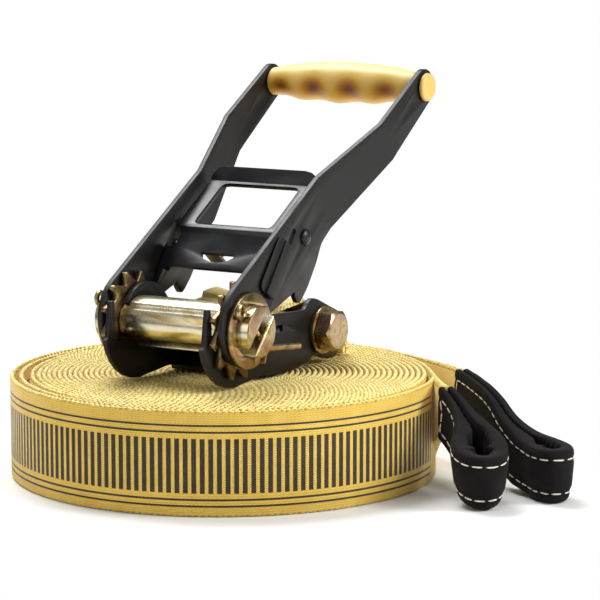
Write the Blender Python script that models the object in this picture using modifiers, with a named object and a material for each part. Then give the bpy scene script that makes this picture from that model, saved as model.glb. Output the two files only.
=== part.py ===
"""A slackline kit: a long-lever ratchet standing on its wound roll of webbing, with both loop ends.

Frame: origin at the centre of the roll's underside, +Z up, +X from the mandrel towards the anchor bolt.
Ratchet pieces are placed from the mandrel's axis; the loop ends are placed in a frame turned about Z.
"""
from math import acos, atan2, ceil, cos, hypot, pi, radians, sin, sqrt

import bmesh
import bpy
import numpy as np
from mathutils import Matrix, Vector

MM = 0.001

# Clearances
GAP = 0.3 * MM            # between neighbours that are not fixed by a thread or a rivet
OVERRUN = 2.0 * MM        # how far a cutter runs past the face it opens
EDGE = 0.25 * MM          # broken edge of a sawn or turned piece
WELD = 0.02 * MM          # merges the loose caps of a filled curve

# Roll of webbing
WEBBING_WIDTH = 50.0 * MM
WEBBING_THICKNESS = 2.6 * MM
ROLL_REACH = 103.9 * MM   # axis to the outer face of the line's last turn, where it leaves the roll
ROLL_PITCH = 4.2 * MM     # the drawn turns are coarser than the real ones
ROLL_TURN_GAP = 0.62 * MM
ROLL_CORE = 7.8 * MM      # radius where the first full turn starts
ROLL_START_BEND = 2.8 * MM
ROLL_START_STEPS = 6
ROLL_POINTS_A_TURN = 24
WRAP_GAP = 0.5 * MM       # between the line's last turn and the anchor strap's turn round it

# Widths across the ratchet, which follow the webbing
STRAP_SIDE_ROOM = 1.45 * MM           # each side of the webbing, between the base's plates
BASE_PLATE = 2.5 * MM
BASE_HALF_INSIDE = WEBBING_WIDTH / 2 + STRAP_SIDE_ROOM
WHEEL_ROOM = 4.35 * MM                # between a base plate and a lever plate
LEVER_PLATE = 2.5 * MM
LEVER_HALF_INSIDE = BASE_HALF_INSIDE + BASE_PLATE + WHEEL_ROOM
SHAFT_END_LENGTH = 8.7 * MM           # mandrel outside the lever's plates
MANDREL_HALF_LENGTH = LEVER_HALF_INSIDE + LEVER_PLATE + SHAFT_END_LENGTH

# Base: two side plates
BASE_REACH = 101.5 * MM               # mandrel axis to the plates' tail
LOBE_RADIUS = 0.2788 * BASE_REACH
HOOK_RADIUS = 0.2 * BASE_REACH        # lip that passes over the mandrel
HOOK_CENTRE_SHARES = (0.069, -0.071)  # of BASE_REACH and LOBE_RADIUS
BEARING_GAP = 0.3 * MM
BOLT_X = 0.7882 * BASE_REACH
BOLT_Z = -0.1084 * BASE_REACH

# Where the ratchet stands on the roll
AXIS_X = -39.7 * MM
AXIS_Y = -3.7 * MM
AXIS_ABOVE_ROLL = LOBE_RADIUS + GAP

# Mandrel: two half-round shafts with the webbing slot between them
MANDREL_RADIUS = 0.1232 * BASE_REACH
MANDREL_SLOT = 6.5 * MM
MANDREL_REST_ANGLE = radians(48)      # the slot's direction in the side view
WHEEL_TIP_RADIUS = 0.2384 * BASE_REACH
WHEEL_ROOT_RADIUS = 0.1852 * BASE_REACH
WHEEL_TEETH = 12
WHEEL_THICKNESS = 3.0 * MM
TOOTH_BACK_SHARE = 0.72   # share of the tooth pitch that the sloping back takes
TOOTH_LAND_SHARE = 0.14   # share of the tooth pitch that the flat tip takes
WASHER_RIM = 5.8 * MM     # width of a washer outside the mandrel
WASHER_RADIUS = MANDREL_RADIUS + WASHER_RIM
WASHER_THICKNESS = 2.2 * MM
PIN_RADIUS = 1.5 * MM
DRILL_TURN = radians(5.6)
PIN_EYE_RADIUS = 2.9 * MM
PIN_EYE_WIRE = 1.3 * MM
PIN_EYE_REACH = 3.4 * MM
PIN_LONG_LEG = 27.0 * MM
PIN_LONG_LEAN = radians(36.7)
PIN_SHORT_LEG = 8.3 * MM
PIN_SPLAY = 1.8 * MM      # how far the long leg leans out from the shaft end
PIN_LEG_WIDTH = 1.45 * MM
PIN_LEG_THICKNESS = 0.8 * MM

# Anchor bolt
BOLT_RADIUS = 0.0591 * BASE_REACH
HEX_FLATS = 19.0 * MM
BOLT_HEAD = 7.9 * MM
BOLT_NUT = 9.5 * MM
BOLT_TAIL = 2.0 * MM      # thread that stands out of the nut
BOLT_WASHER_RADIUS = 12.0 * MM
BOLT_WASHER = 2.0 * MM
SLEEVE_TUBE_RADIUS = 0.0788 * BASE_REACH

# Cross plate and locking pawl in the base
CROSS_PLATE = 2.5 * MM
CROSS_FRONT = 0.266 * BASE_REACH
CROSS_FLANGE_X = 0.5448 * BASE_REACH
CROSS_BEND = 4.0 * MM
CROSS_TOP = -0.0266 * BASE_REACH
CROSS_LIFT = 0.4 * MM     # underside of the cross plate above the lobes' lowest line
LOCK_PLATE = 2.5 * MM
LOCK_Z = -0.0493 * BASE_REACH
LOCK_TRAVEL = 5.0 * MM
LOCK_NECK = 0.0788 * BASE_REACH      # length of the plate where it passes through the side plates
LOCK_NECK_FRONT = 0.2956 * BASE_REACH
LOCK_BACK = 0.4335 * BASE_REACH
LOCK_TIP_GAP = 0.5 * MM
SPRING_RADIUS = 2.5 * MM
SPRING_WIRE = 0.4 * MM
SPRING_CURLS = 4
SPRING_POINTS_A_CURL = 10
STRAP_STEP = 2.2 * MM     # length of one step along the anchor strap

# Lever
LEVER_LENGTH = 186.35 * MM    # mandrel axis to grip axis
LEVER_REST_ANGLE = radians(35.1)
LEVER_FLARE = 11.6 * MM       # how far each plate steps out towards the grip
LEVER_END_RADIUS = 9.3 * MM
LEVER_HUB_RIM = 1.9 * MM                      # width of a hub outside its washer
LEVER_HUB_RADIUS = WASHER_RADIUS + LEVER_HUB_RIM
LEVER_HUB_SHARES = (0.003, 0.017)         # hub's centre, of LEVER_LENGTH
FLARE_START_SHARES = ((0.495, 0.085), (0.467, -0.060))
FLARE_END_SHARES = ((0.758, 0.051), (0.750, -0.041))

# Driving pawl, guided by slots in the lever's plates
PAWL_PLATE = 2.2 * MM
PAWL_START_SHARES = (0.1911, 0.0175)       # lower edge of the pawl, of LEVER_LENGTH
PAWL_ANGLE = radians(16.4)                # from the lever's own axis
PAWL_LEG_HALF = LEVER_HALF_INSIDE - 0.4 * MM      # outer sides of the two legs that reach the wheels
PAWL_FLAT_HALF = LEVER_HALF_INSIDE - 5.8 * MM     # half width of the plate between its ears and its ridge
PAWL_HALF_WIDTH = LEVER_HALF_INSIDE - 1.9 * MM    # half width of the pull loop
PAWL_WAIST_BEFORE = 1.5 * MM                      # where the plate starts to widen, before the ridge
PAWL_WAIST_AFTER = 5.0 * MM                       # and where it has its full width, after the ridge
PAWL_LEG_WIDTH = 3.6 * MM
PAWL_FLAT = 20.5 * MM
PAWL_RIDGE = 2.2 * MM
PAWL_LOOP = 37.7 * MM
PAWL_LOOP_TILT = radians(-19.5)
PAWL_BAR = 8.0 * MM
PAWL_BAR_TILT = radians(28.0)
PAWL_SIDE_BAR = 8.6 * MM
PAWL_CORNER = 8.0 * MM
PAWL_TRAVEL = 6.0 * MM
PAWL_EAR_START = -4.0 * MM
PAWL_EAR_END = 10.0 * MM
PAWL_TIP_GAP = 0.5 * MM
SLOT_TOP = 26.5 * MM
SLOT_WIDTH = 3.2 * MM
PAWL_HOLE_HALF = 10.0 * MM
PAWL_HOLE_LOW = 3.7 * MM
PAWL_HOLE_HIGH = 8.9 * MM
PAWL_HOLE_SIDE = 1.2 * MM                 # the window sits a little to one side
TONGUE_HALF_WIDTH = 4.0 * MM
TONGUE_DEPTH = 10.5 * MM
TONGUE_START = 9.5 * MM
TONGUE_SIDE = 7.0 * MM                    # the tongue and its spring sit towards the far plate
TONGUE_THICKNESS = 1.6 * MM
PAWL_SPRING_DEPTH = 8.0 * MM              # spring's axis behind the pawl's plate
TIE_RADIUS = 3.0 * MM
TIE_SHANK = 2.0 * MM
TIE_HEAD_RADIUS = 4.2 * MM
TIE_HEAD = 2.2 * MM
TIE_ALONG = 28.5 * MM                     # from the pawl's lower edge, along its slide
TIE_BEHIND = 10.2 * MM

# Slot covers: a raised bar over the slot with a thin flange in front of it; and the studs inside the plates
COVER_WASHER_ROOM = 3.8 * MM  # between the cover's low end and the washer
COVER_LOW = WASHER_RADIUS + COVER_WASHER_ROOM - PAWL_START_SHARES[0] * LEVER_LENGTH
COVER_HIGH = 16.5 * MM
COVER_HALF_WIDTH = 6.8 * MM
COVER_SIDE = -4.4 * MM        # the cover's middle line, behind the slot's
COVER_BAR = 8.6 * MM          # width of the raised bar
COVER_HEIGHT = 2.4 * MM
COVER_FLANGE = 0.9 * MM       # thickness of the flange
STUD_RADIUS = 2.6 * MM
STUD_HEIGHT = 1.5 * MM
STUD_PLACES = ((16.6 * MM, 5.8 * MM), (4.2 * MM, 6.8 * MM))   # along the slot and behind it

# Grip
GRIP_ROD_RADIUS = 3.5 * MM
GRIP_END_RADIUS = 7.2 * MM
GRIP_CROWN_FRONT = 2.9 * MM   # extra radius at mid-length, on the side of the finger troughs
GRIP_CROWN_BACK = 4.4 * MM    # and on the palm's side
GRIP_TROUGH = 1.9 * MM        # depth of the finger troughs
GRIP_FACING = radians(172)    # the way the troughs face, from the lever's own axis
GRIP_END_SOFT = 0.9 * MM      # rounding at the grip's ends
GRIP_FINGERS = 4
GRIP_FINGER_SPAN = 87.0 * MM
GRIP_FINGER_MIDDLE = 4.0 * MM  # the middle of the four troughs, towards the grip's far end
GRIP_RINGS = 33
GRIP_SIDES = 20
CAP_RADIUS = 7.2 * MM
CAP_HEIGHT = 2.6 * MM
CAP_DOME = 0.8 * MM
CAP_BORE_DEPTH = 1.5 * MM
GRIP_ROD_STICKOUT = 1.2 * MM

# Loop ends, in the frame turned by LOOP_TURN: +x away from the roll, -y the way the loops lie
LOOP_TURN = radians(-58.5)
FOLDED_HEIGHT = 0.52 * WEBBING_WIDTH     # the webbing is folded in half lengthwise in its padded sleeve
FOLDED_THICKNESS = 5.4 * MM
SLEEVE_FLOOR = 0.2 * MM
SLEEVE_STEP = 4.6 * MM

# Padded loop ends, in the same turned frame.
# A route's points are (x from the roll's outer reach, y, height of the top edge as a share of the webbing's
# width, leg thickness); x, y and thickness are in millimetres.

LINE_LOOP_ROUTE = [
    (2.3, -44.6, 0.992, 4.1), (5.5, -50.4, 0.920, 4.2), (8.7, -57.0, 0.830, 5.2),
    (10.3, -64.0, 0.740, 7.0), (9.9, -71.0, 0.670, 8.8), (8.9, -78.0, 0.620, 9.6),
    (9.5, -85.0, 0.576, 9.8), (12.7, -91.2, 0.540, 9.8), (17.9, -94.4, 0.524, 9.8),
    (23.5, -93.2, 0.528, 9.8), (27.1, -87.6, 0.552, 9.8), (27.5, -79.8, 0.612, 9.6),
    (25.5, -72.2, 0.668, 8.6), (21.3, -65.0, 0.740, 6.6), (15.9, -57.6, 0.830, 4.8),
    (11.3, -50.2, 0.920, 4.2), (6.9, -43.6, 0.992, 4.1),
]
STRAP_LOOP_ROUTE = [
    (12.9, 2.3, 1.000, 4.1), (17.7, -11.0, 0.970, 4.1), (23.3, -26.0, 0.920, 4.1),
    (27.5, -36.0, 0.840, 4.4), (32.3, -46.0, 0.700, 5.8), (38.1, -55.6, 0.590, 7.6),
    (42.9, -65.2, 0.540, 8.2), (47.1, -74.2, 0.524, 8.2), (52.7, -79.6, 0.524, 8.3),
    (59.3, -75.2, 0.524, 8.2), (59.8, -66.6, 0.528, 8.2), (55.3, -57.6, 0.540, 8.0),
    (46.7, -50.4, 0.590, 6.4), (38.5, -42.6, 0.700, 4.8), (32.5, -34.2, 0.840, 4.2),
    (27.9, -24.4, 0.920, 4.1), (22.3, -9.4, 0.970, 4.1), (17.4, 3.8, 1.000, 4.1),
]


# Small tools

def collection(name):
    """A collection of the scene, made once."""
    made = bpy.data.collections.get(name)
    if made is None:
        made = bpy.data.collections.new(name)
        bpy.context.scene.collection.children.link(made)
    return made


def material(name, colour, roughness, metallic=0.0):
    """A plain Principled material with the piece's own colour."""
    made = bpy.data.materials.new(name)
    made.use_nodes = True
    shader = made.node_tree.nodes["Principled BSDF"]
    shader.inputs["Base Color"].default_value = (*colour, 1.0)
    shader.inputs["Roughness"].default_value = roughness
    shader.inputs["Metallic"].default_value = metallic
    made.diffuse_color = (*colour, 1.0)
    return made


def steel_black(name):
    return material(name, (0.020, 0.019, 0.020), 0.42, 0.2)


def zinc_yellow(name):
    return material(name, (0.55, 0.43, 0.22), 0.33, 1.0)


def webbing_yellow(name):
    return material(name, (0.78, 0.60, 0.18), 0.75)


def sleeve_black(name):
    return material(name, (0.018, 0.016, 0.016), 0.85)


def moulded_yellow(name):
    return material(name, (0.80, 0.48, 0.08), 0.48)


def add(name, mesh, make_material, parent=None, matrix=None):
    """Puts a finished mesh in the model under its own name and material."""
    made = bpy.data.objects.new(name, mesh)
    mesh.name = name
    mesh.materials.clear()
    mesh.materials.append(make_material(name))
    collection("slackline_kit").objects.link(made)
    if parent is not None:
        made.parent = parent
    if matrix is not None:
        made.matrix_local = matrix
    return made


def pivot(name, location=(0.0, 0.0, 0.0), turn=0.0, about="Y", parent=None):
    """An empty that carries pieces; turn is about one axis."""
    made = bpy.data.objects.new(name, None)
    collection("slackline_kit").objects.link(made)
    made.location = location
    made.rotation_euler = Matrix.Rotation(turn, 4, about).to_euler()
    made.parent = parent
    return made


def arc(centre, radius, start, end, step=radians(13)):
    """Points on an arc, both ends included; angles in radians."""
    count = max(1, ceil(abs(end - start) / step))
    angles = [start + (end - start) * i / count for i in range(count + 1)]
    return [(centre[0] + radius * cos(a), centre[1] + radius * sin(a)) for a in angles]


def shared(shares, across, up):
    """Turns shares into points: the first of a pair follows across, the second up."""
    return [(a * across, b * up) for a, b in shares]


def rounded(points, radius, steps=3):
    """A closed outline with each corner replaced by an arc-like curve of about the given radius."""
    out = []
    count = len(points)
    for i in range(count):
        before, here, after = (Vector(points[(i + k - 1) % count]) for k in range(3))
        to_before, to_after = before - here, after - here
        reach = min(radius, to_before.length / 2, to_after.length / 2)
        start = here + to_before.normalized() * reach
        end = here + to_after.normalized() * reach
        for k in range(steps + 1):
            t = k / steps
            out.append(tuple((1 - t) ** 2 * start + 2 * t * (1 - t) * here + t * t * end))
    return out


def smooth_path(points, step, closed=False):
    """Points about one step apart on a smooth curve through the given ones."""
    given = [np.array(p, float) for p in points]
    count = len(given)
    out = []
    spans = count if closed else count - 1
    for i in range(spans):
        if closed:
            a, b, c, d = (given[(i + k - 1) % count] for k in range(4))
        else:
            a, b, c, d = (given[min(max(i + k - 1, 0), count - 1)] for k in range(4))
        pieces = max(1, round(float(np.linalg.norm(c - b)) / step))
        for k in range(pieces):
            t = k / pieces
            out.append(0.5 * (2 * b + (c - a) * t + (2 * a - 5 * b + 4 * c - d) * t ** 2
                              + (3 * b - a - 3 * c + d) * t ** 3))
    if not closed:
        out.append(given[-1])
    return out


def flat_blank(outlines, thickness, edge=0.0):
    """A stamped blank: the first outline is its edge, the rest are holes. It lies in its own XY plane."""
    curve = bpy.data.curves.new("blank", "CURVE")
    curve.dimensions = "2D"
    curve.fill_mode = "BOTH"
    curve.extrude = thickness / 2 - edge
    curve.bevel_depth = edge
    curve.bevel_resolution = 0
    curve.offset = -edge
    for outline in outlines:
        spline = curve.splines.new("POLY")
        spline.points.add(len(outline) - 1)
        for point, (x, y) in zip(spline.points, outline):
            point.co = (x, y, 0.0, 1.0)
        spline.use_cyclic_u = True
    holder = bpy.data.objects.new("blank", curve)
    bpy.context.scene.collection.objects.link(holder)
    graph = bpy.context.evaluated_depsgraph_get()
    mesh = bpy.data.meshes.new_from_object(holder.evaluated_get(graph))
    bpy.data.objects.remove(holder)
    bpy.data.curves.remove(curve)
    edit = bmesh.new()
    edit.from_mesh(mesh)
    bmesh.ops.remove_doubles(edit, verts=edit.verts, dist=WELD)
    bmesh.ops.recalc_face_normals(edit, faces=edit.faces)
    edit.to_mesh(mesh)
    edit.free()
    return mesh


STANDING = Matrix.Rotation(radians(90), 4, "X")   # a blank's XY plane becomes the XZ plane


def standing_plate(outlines, thickness, middle_y, edge=0.0):
    """A blank stood up in the XZ plane, its middle at the given Y."""
    mesh = flat_blank(outlines, thickness, edge)
    mesh.transform(Matrix.Translation((0.0, middle_y, 0.0)) @ STANDING)
    return mesh


def cut_across(edit, place, normal):
    """Adds a line of edges across a sheet where it will bend."""
    every = edit.verts[:] + edit.edges[:] + edit.faces[:]
    bmesh.ops.bisect_plane(edit, geom=every, plane_co=place, plane_no=normal, dist=WELD)


def cylinder(radius, length, sides=32, edge=0.0):
    """A round bar along Z, centred on its own origin."""
    edit = bmesh.new()
    bmesh.ops.create_cone(edit, cap_ends=True, segments=sides, radius1=radius, radius2=radius, depth=length)
    if edge:
        rims = [e for e in edit.edges if len({round(v.co.z, 7) for v in e.verts}) == 1]
        bmesh.ops.bevel(edit, geom=rims, offset=edge, segments=1, affect="EDGES")
    mesh = bpy.data.meshes.new("cylinder")
    edit.to_mesh(mesh)
    edit.free()
    return mesh


def box(low, high):
    """A box between two corners."""
    edit = bmesh.new()
    bmesh.ops.create_cube(edit, size=1.0)
    low, high = Vector(low), Vector(high)
    size = high - low
    for vertex in edit.verts:
        vertex.co = (low + high) / 2 + Vector(a * b for a, b in zip(vertex.co, size))
    mesh = bpy.data.meshes.new("box")
    edit.to_mesh(mesh)
    edit.free()
    return mesh


def turned(profile, sides=32):
    """A turned solid about Z from (radius, height) pairs, listed from the top down its outer side."""
    edit = bmesh.new()
    start = [edit.verts.new((radius, 0.0, height)) for radius, height in profile]
    for a, b in zip(start, start[1:]):
        edit.edges.new((a, b))
    mesh = bpy.data.meshes.new("profile")
    edit.to_mesh(mesh)
    edit.free()
    holder = bpy.data.objects.new("profile", mesh)
    bpy.context.scene.collection.objects.link(holder)
    screw = holder.modifiers.new("Screw", "SCREW")
    screw.steps = sides
    screw.render_steps = sides
    screw.use_merge_vertices = True
    screw.merge_threshold = WELD
    graph = bpy.context.evaluated_depsgraph_get()
    result = bpy.data.meshes.new_from_object(holder.evaluated_get(graph))
    bpy.data.objects.remove(holder)
    bpy.data.meshes.remove(mesh)
    return result


def loft(sections, closed=False):
    """A skin over rings of points, with flat ends unless the rings close on themselves."""
    edit = bmesh.new()
    rings = [[edit.verts.new(p) for p in section] for section in sections]
    count = len(rings[0])
    pairs = list(zip(rings, rings[1:])) + ([(rings[-1], rings[0])] if closed else [])
    for near, far in pairs:
        for i in range(count):
            k = (i + 1) % count
            edit.faces.new((near[i], near[k], far[k], far[i]))
    if not closed:
        edit.faces.new(reversed(rings[0]))
        edit.faces.new(rings[-1])
    bmesh.ops.recalc_face_normals(edit, faces=edit.faces)
    mesh = bpy.data.meshes.new("loft")
    edit.to_mesh(mesh)
    edit.free()
    return mesh


def ribbon(points, width, thickness):
    """A flat band on its edge along a path of (x, y) points; it stands on z = 0 and is width tall."""
    edit = bmesh.new()
    low = [edit.verts.new((x, y, 0.0)) for x, y in points]
    edges = [edit.edges.new(pair) for pair in zip(low, low[1:])]
    lifted = bmesh.ops.extrude_edge_only(edit, edges=edges)["geom"]
    raised = [g for g in lifted if isinstance(g, bmesh.types.BMVert)]
    bmesh.ops.translate(edit, vec=(0.0, 0.0, width), verts=raised)
    mesh = bpy.data.meshes.new("ribbon")
    edit.to_mesh(mesh)
    edit.free()
    holder = bpy.data.objects.new("ribbon", mesh)
    bpy.context.scene.collection.objects.link(holder)
    solid = holder.modifiers.new("Solidify", "SOLIDIFY")
    solid.thickness = thickness
    solid.offset = 0.0
    solid.use_even_offset = True
    graph = bpy.context.evaluated_depsgraph_get()
    result = bpy.data.meshes.new_from_object(holder.evaluated_get(graph))
    bpy.data.objects.remove(holder)
    bpy.data.meshes.remove(mesh)
    edit = bmesh.new()
    edit.from_mesh(result)
    bmesh.ops.recalc_face_normals(edit, faces=edit.faces)
    edit.to_mesh(result)
    edit.free()
    return result


def boolean(target, meshes, operation="DIFFERENCE"):
    """Cuts or joins meshes, given in the target's own frame, with hidden helpers that stay in the file."""
    for mesh in meshes:
        helper = bpy.data.objects.new("helper_" + target.name, mesh)
        collection("cutters").objects.link(helper)
        helper.parent = target
        helper.hide_render = True
        helper.display_type = "WIRE"
        modifier = target.modifiers.new(operation.title(), "BOOLEAN")
        modifier.operation = operation
        modifier.solver = "EXACT"
        modifier.object = helper
    return target


def moved(mesh, matrix):
    mesh.transform(matrix)
    return mesh


def frame_from(origin, along, up):
    """A matrix whose X follows along and whose Z is as near up as it can be."""
    x = Vector(along).normalized()
    y = Vector(up).cross(x).normalized()
    z = x.cross(y)
    rotation = Matrix((x, y, z)).transposed().to_4x4()
    return Matrix.Translation(origin) @ rotation


# Roll of webbing

def loop_place(point):
    """A route's point in metres: place, height of the top edge and leg thickness."""
    x, y, top, leg = point
    return ROLL_REACH + x * MM, y * MM, top * WEBBING_WIDTH, leg * MM


def loop_start(route):
    """Where a padded loop's two legs meet the webbing: the middle, and the way the loop sets out."""
    first, last = Vector(loop_place(route[0])[:2]), Vector(loop_place(route[-1])[:2])
    side = (last - first).normalized()
    return (first + last) / 2, Vector((side.y, -side.x))


def spiral_point(angle, radius):
    return radius * cos(angle), radius * sin(angle)


def tangent_leave(radius, target):
    """Angle on a circle where a band that runs clockwise leaves to pass through the target."""
    reach = hypot(*target)
    return atan2(target[1], target[0]) + acos(radius / reach)


def line_radius(turned_back, last_radius):
    """Centre-line radius of the wound line, a given angle before its end."""
    return last_radius - ROLL_PITCH * turned_back / (2 * pi)


def roll_route():
    """The wound line from its straight inner end outwards, clockwise seen from above, in the loop frame."""
    thickness = ROLL_PITCH - ROLL_TURN_GAP
    last_radius = ROLL_REACH - thickness / 2
    end_angle = tangent_leave(last_radius, loop_start(LINE_LOOP_ROUTE)[0])
    turns = (last_radius - ROLL_CORE) / ROLL_PITCH
    steps = round(turns * ROLL_POINTS_A_TURN)
    outward = []
    for k in range(steps + 1):
        back = 2 * pi * k / ROLL_POINTS_A_TURN
        outward.append(spiral_point(end_angle + back, line_radius(back, last_radius)))
    outward.reverse()
    first = Vector(outward[0])
    heading = (Vector(outward[1]) - first).normalized()
    side = Vector((heading.y, -heading.x))
    if side.dot(first) > 0:
        side = -side
    centre = first + side * ROLL_START_BEND
    start = (first - centre)
    to_middle = acos(-ROLL_START_BEND / centre.length)   # the bend stops where it points at the roll's middle
    bend = []
    for k in range(1, ROLL_START_STEPS + 1):
        bend.append(centre + Matrix.Rotation(to_middle * k / ROLL_START_STEPS, 2) @ start)
    end = -bend[-1].normalized() * ROLL_CORE / 2
    inner = [tuple(end)] + [tuple(p) for p in reversed(bend)]
    return inner + outward, thickness, end_angle, last_radius


def least_self_gap(points, thickness, skip):
    """Least gap between faces of a band's own turns, measured on its centre points."""
    track = np.array(points)
    least = 1.0
    for i in range(len(track)):
        others = track[i + skip:]
        if len(others) > 1:
            a, b = others[:-1], others[1:]
            run = b - a
            share = np.clip(((track[i] - a) * run).sum(1) / (run ** 2).sum(1), 0, 1)
            near = a + run * share[:, None]
            least = min(least, float(np.sqrt(((track[i] - near) ** 2).sum(1)).min()))
    return least - thickness


def webbing_roll(loops):
    route, thickness, end_angle, last_radius = roll_route()
    gap = least_self_gap(route, thickness, ROLL_POINTS_A_TURN // 2)
    print("webbing_roll: turns", round((len(route) - 6) / ROLL_POINTS_A_TURN, 1),
          "least gap mm", round(gap / MM, 3))
    add("webbing_roll", ribbon(route, WEBBING_WIDTH, thickness), webbing_yellow, loops)
    return end_angle, last_radius, thickness


def strap_wrap(loops, end_angle, last_radius, thickness):
    """The anchor strap's turn round the outside: it starts under the line's tail and goes once round."""
    lift = thickness / 2 + WRAP_GAP + WEBBING_THICKNESS / 2
    final_radius = last_radius + lift
    leave = tangent_leave(final_radius, loop_start(STRAP_LOOP_ROUTE)[0])
    start_back = 2 * pi - radians(15)
    step = 2 * pi / ROLL_POINTS_A_TURN
    points = []
    back = start_back
    while back > leave - end_angle:
        points.append(spiral_point(end_angle + back, line_radius(back, last_radius) + lift))
        back -= step
    back = leave - end_angle
    points.append(spiral_point(end_angle + back, line_radius(back, last_radius) + lift))
    add("strap_wrap", ribbon(points, WEBBING_WIDTH, WEBBING_THICKNESS), webbing_yellow, loops)
    return points


def tail(name, loops, start, heading, route, start_thickness):
    """A band that leaves the roll full width and is folded in half by the time it meets its sleeve."""
    target, end_heading = loop_start(route)
    first, last = Vector(start) + heading * GAP, target - end_heading * GAP
    sections = []
    stations = 9
    for k in range(stations):
        t = k / (stations - 1)
        along = heading.lerp(end_heading, t).normalized()
        thick = (start_thickness + (FOLDED_THICKNESS - start_thickness) * t) / 2
        low = (WEBBING_WIDTH - FOLDED_HEIGHT) * t * t * (3 - 2 * t)
        across = (Vector((along.y, -along.x)) * thick).to_3d()
        base = first.lerp(last, t).to_3d()
        foot, head = base + Vector((0.0, 0.0, low)), base + Vector((0.0, 0.0, WEBBING_WIDTH))
        sections.append([foot - across, foot + across, head + across, head - across])
    return add(name, loft(sections), webbing_yellow, loops)


def padded_loop(name, loops, route):
    """A padded sleeve that runs out, round the eye and back beside itself."""
    stations = smooth_path([loop_place(point) for point in route], SLEEVE_STEP)
    set_out = loop_start(route)[1]
    sections = []
    for i, (x, y, top, leg) in enumerate(stations):
        before, after = stations[max(i - 1, 0)], stations[min(i + 1, len(stations) - 1)]
        heading = Vector((after[0] - before[0], after[1] - before[1], 0.0)).normalized()
        if i in (0, len(stations) - 1):
            heading = set_out.to_3d() * (1 if i == 0 else -1)
        side = Vector((-heading.y, heading.x, 0.0))
        middle = Vector((x, y, max(top - FOLDED_HEIGHT / 2, FOLDED_HEIGHT / 2 + SLEEVE_FLOOR)))
        half, rise = leg / 2, FOLDED_HEIGHT / 2
        fillet = min(half * 0.9, rise / 3)
        ring = []
        for a, b, start in ((1, 1, 0), (-1, 1, 90), (-1, -1, 180), (1, -1, 270)):
            corner = (a * (half - fillet), b * (rise - fillet))
            for u, v in arc(corner, fillet, radians(start), radians(start + 90), radians(46)):
                ring.append(middle + side * u + Vector((0.0, 0.0, v)))
        sections.append(ring)
    return add(name, loft(sections), sleeve_black, loops)


# Base of the ratchet

def base_plate_outline():
    """Side plate seen from the near side, about the mandrel's axis."""
    bearing = MANDREL_RADIUS + BEARING_GAP
    hook_centre = (HOOK_CENTRE_SHARES[0] * BASE_REACH, HOOK_CENTRE_SHARES[1] * LOBE_RADIUS)
    inner = arc((0.0, 0.0), bearing, radians(131), radians(-146))
    lip = rounded(shared([(-0.150, -0.315), (-0.187, -0.270), (-0.199, 0.290), (-0.205, 0.430), (-0.226, 0.430),
                          (-0.250, -0.170), (-0.264, -0.215)], BASE_REACH, LOBE_RADIUS), LOBE_RADIUS / 9, 2)
    lobe = arc((0.0, 0.0), LOBE_RADIUS, radians(193), radians(283))
    foot = rounded(shared([(0.236, -0.860), (0.295, -0.965), (0.522, -0.975), (0.667, -0.901), (0.716, -0.788),
                           (0.849, -0.965), (0.950, -0.922), (1.000, -0.322), (0.966, -0.148), (0.732, 0.205),
                           (0.675, 0.201), (0.642, 0.032), (0.302, 0.088)], BASE_REACH, LOBE_RADIUS),
                   LOBE_RADIUS / 7, 2)
    hook = arc(hook_centre, HOOK_RADIUS, radians(38), radians(145))
    return inner + lip[3:-3] + lobe + foot[3:-1] + hook


def base_plates(ratchet):
    slot_low, slot_high = LOCK_NECK_FRONT - GAP, LOCK_NECK_FRONT + LOCK_NECK + LOCK_TRAVEL + GAP
    half = LOCK_PLATE / 2 + GAP
    slot = [(slot_low, LOCK_Z - half), (slot_high, LOCK_Z - half), (slot_high, LOCK_Z + half),
            (slot_low, LOCK_Z + half)]
    hole = arc((BOLT_X, BOLT_Z), BOLT_RADIUS + GAP, 0.0, 2 * pi)[:-1]
    middle = BASE_HALF_INSIDE + BASE_PLATE / 2
    for side, name in ((-1, "base_plate_near"), (1, "base_plate_far")):
        mesh = standing_plate([base_plate_outline(), slot, hole], BASE_PLATE, side * middle)
        add(name, mesh, steel_black, ratchet)


def cross_plate(ratchet):
    """Bent plate between the side plates: a floor under the mandrel and a wall behind the locking pawl."""
    floor_z = -LOBE_RADIUS + CROSS_LIFT + CROSS_PLATE / 2
    bend = arc((CROSS_FLANGE_X - CROSS_BEND, floor_z + CROSS_BEND), CROSS_BEND, radians(-90), 0.0, radians(31))
    path = [(CROSS_FRONT, floor_z)] + bend + [(CROSS_FLANGE_X, CROSS_TOP)]
    width = 2 * (BASE_HALF_INSIDE - GAP)
    mesh = ribbon(path, width, CROSS_PLATE)
    mesh = moved(mesh, Matrix.Translation((0.0, width / 2, 0.0)) @ STANDING)
    add("base_crossplate", mesh, steel_black, ratchet)


def hexagon(flats):
    return [(flats / sqrt(3) * cos(radians(60 * k)), flats / sqrt(3) * sin(radians(60 * k))) for k in range(6)]


def lying_y(middle):
    """Turns a solid made along Z to lie along Y through the bolt, its middle at the given Y."""
    return Matrix.Translation((BOLT_X, middle, BOLT_Z)) @ STANDING


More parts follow.
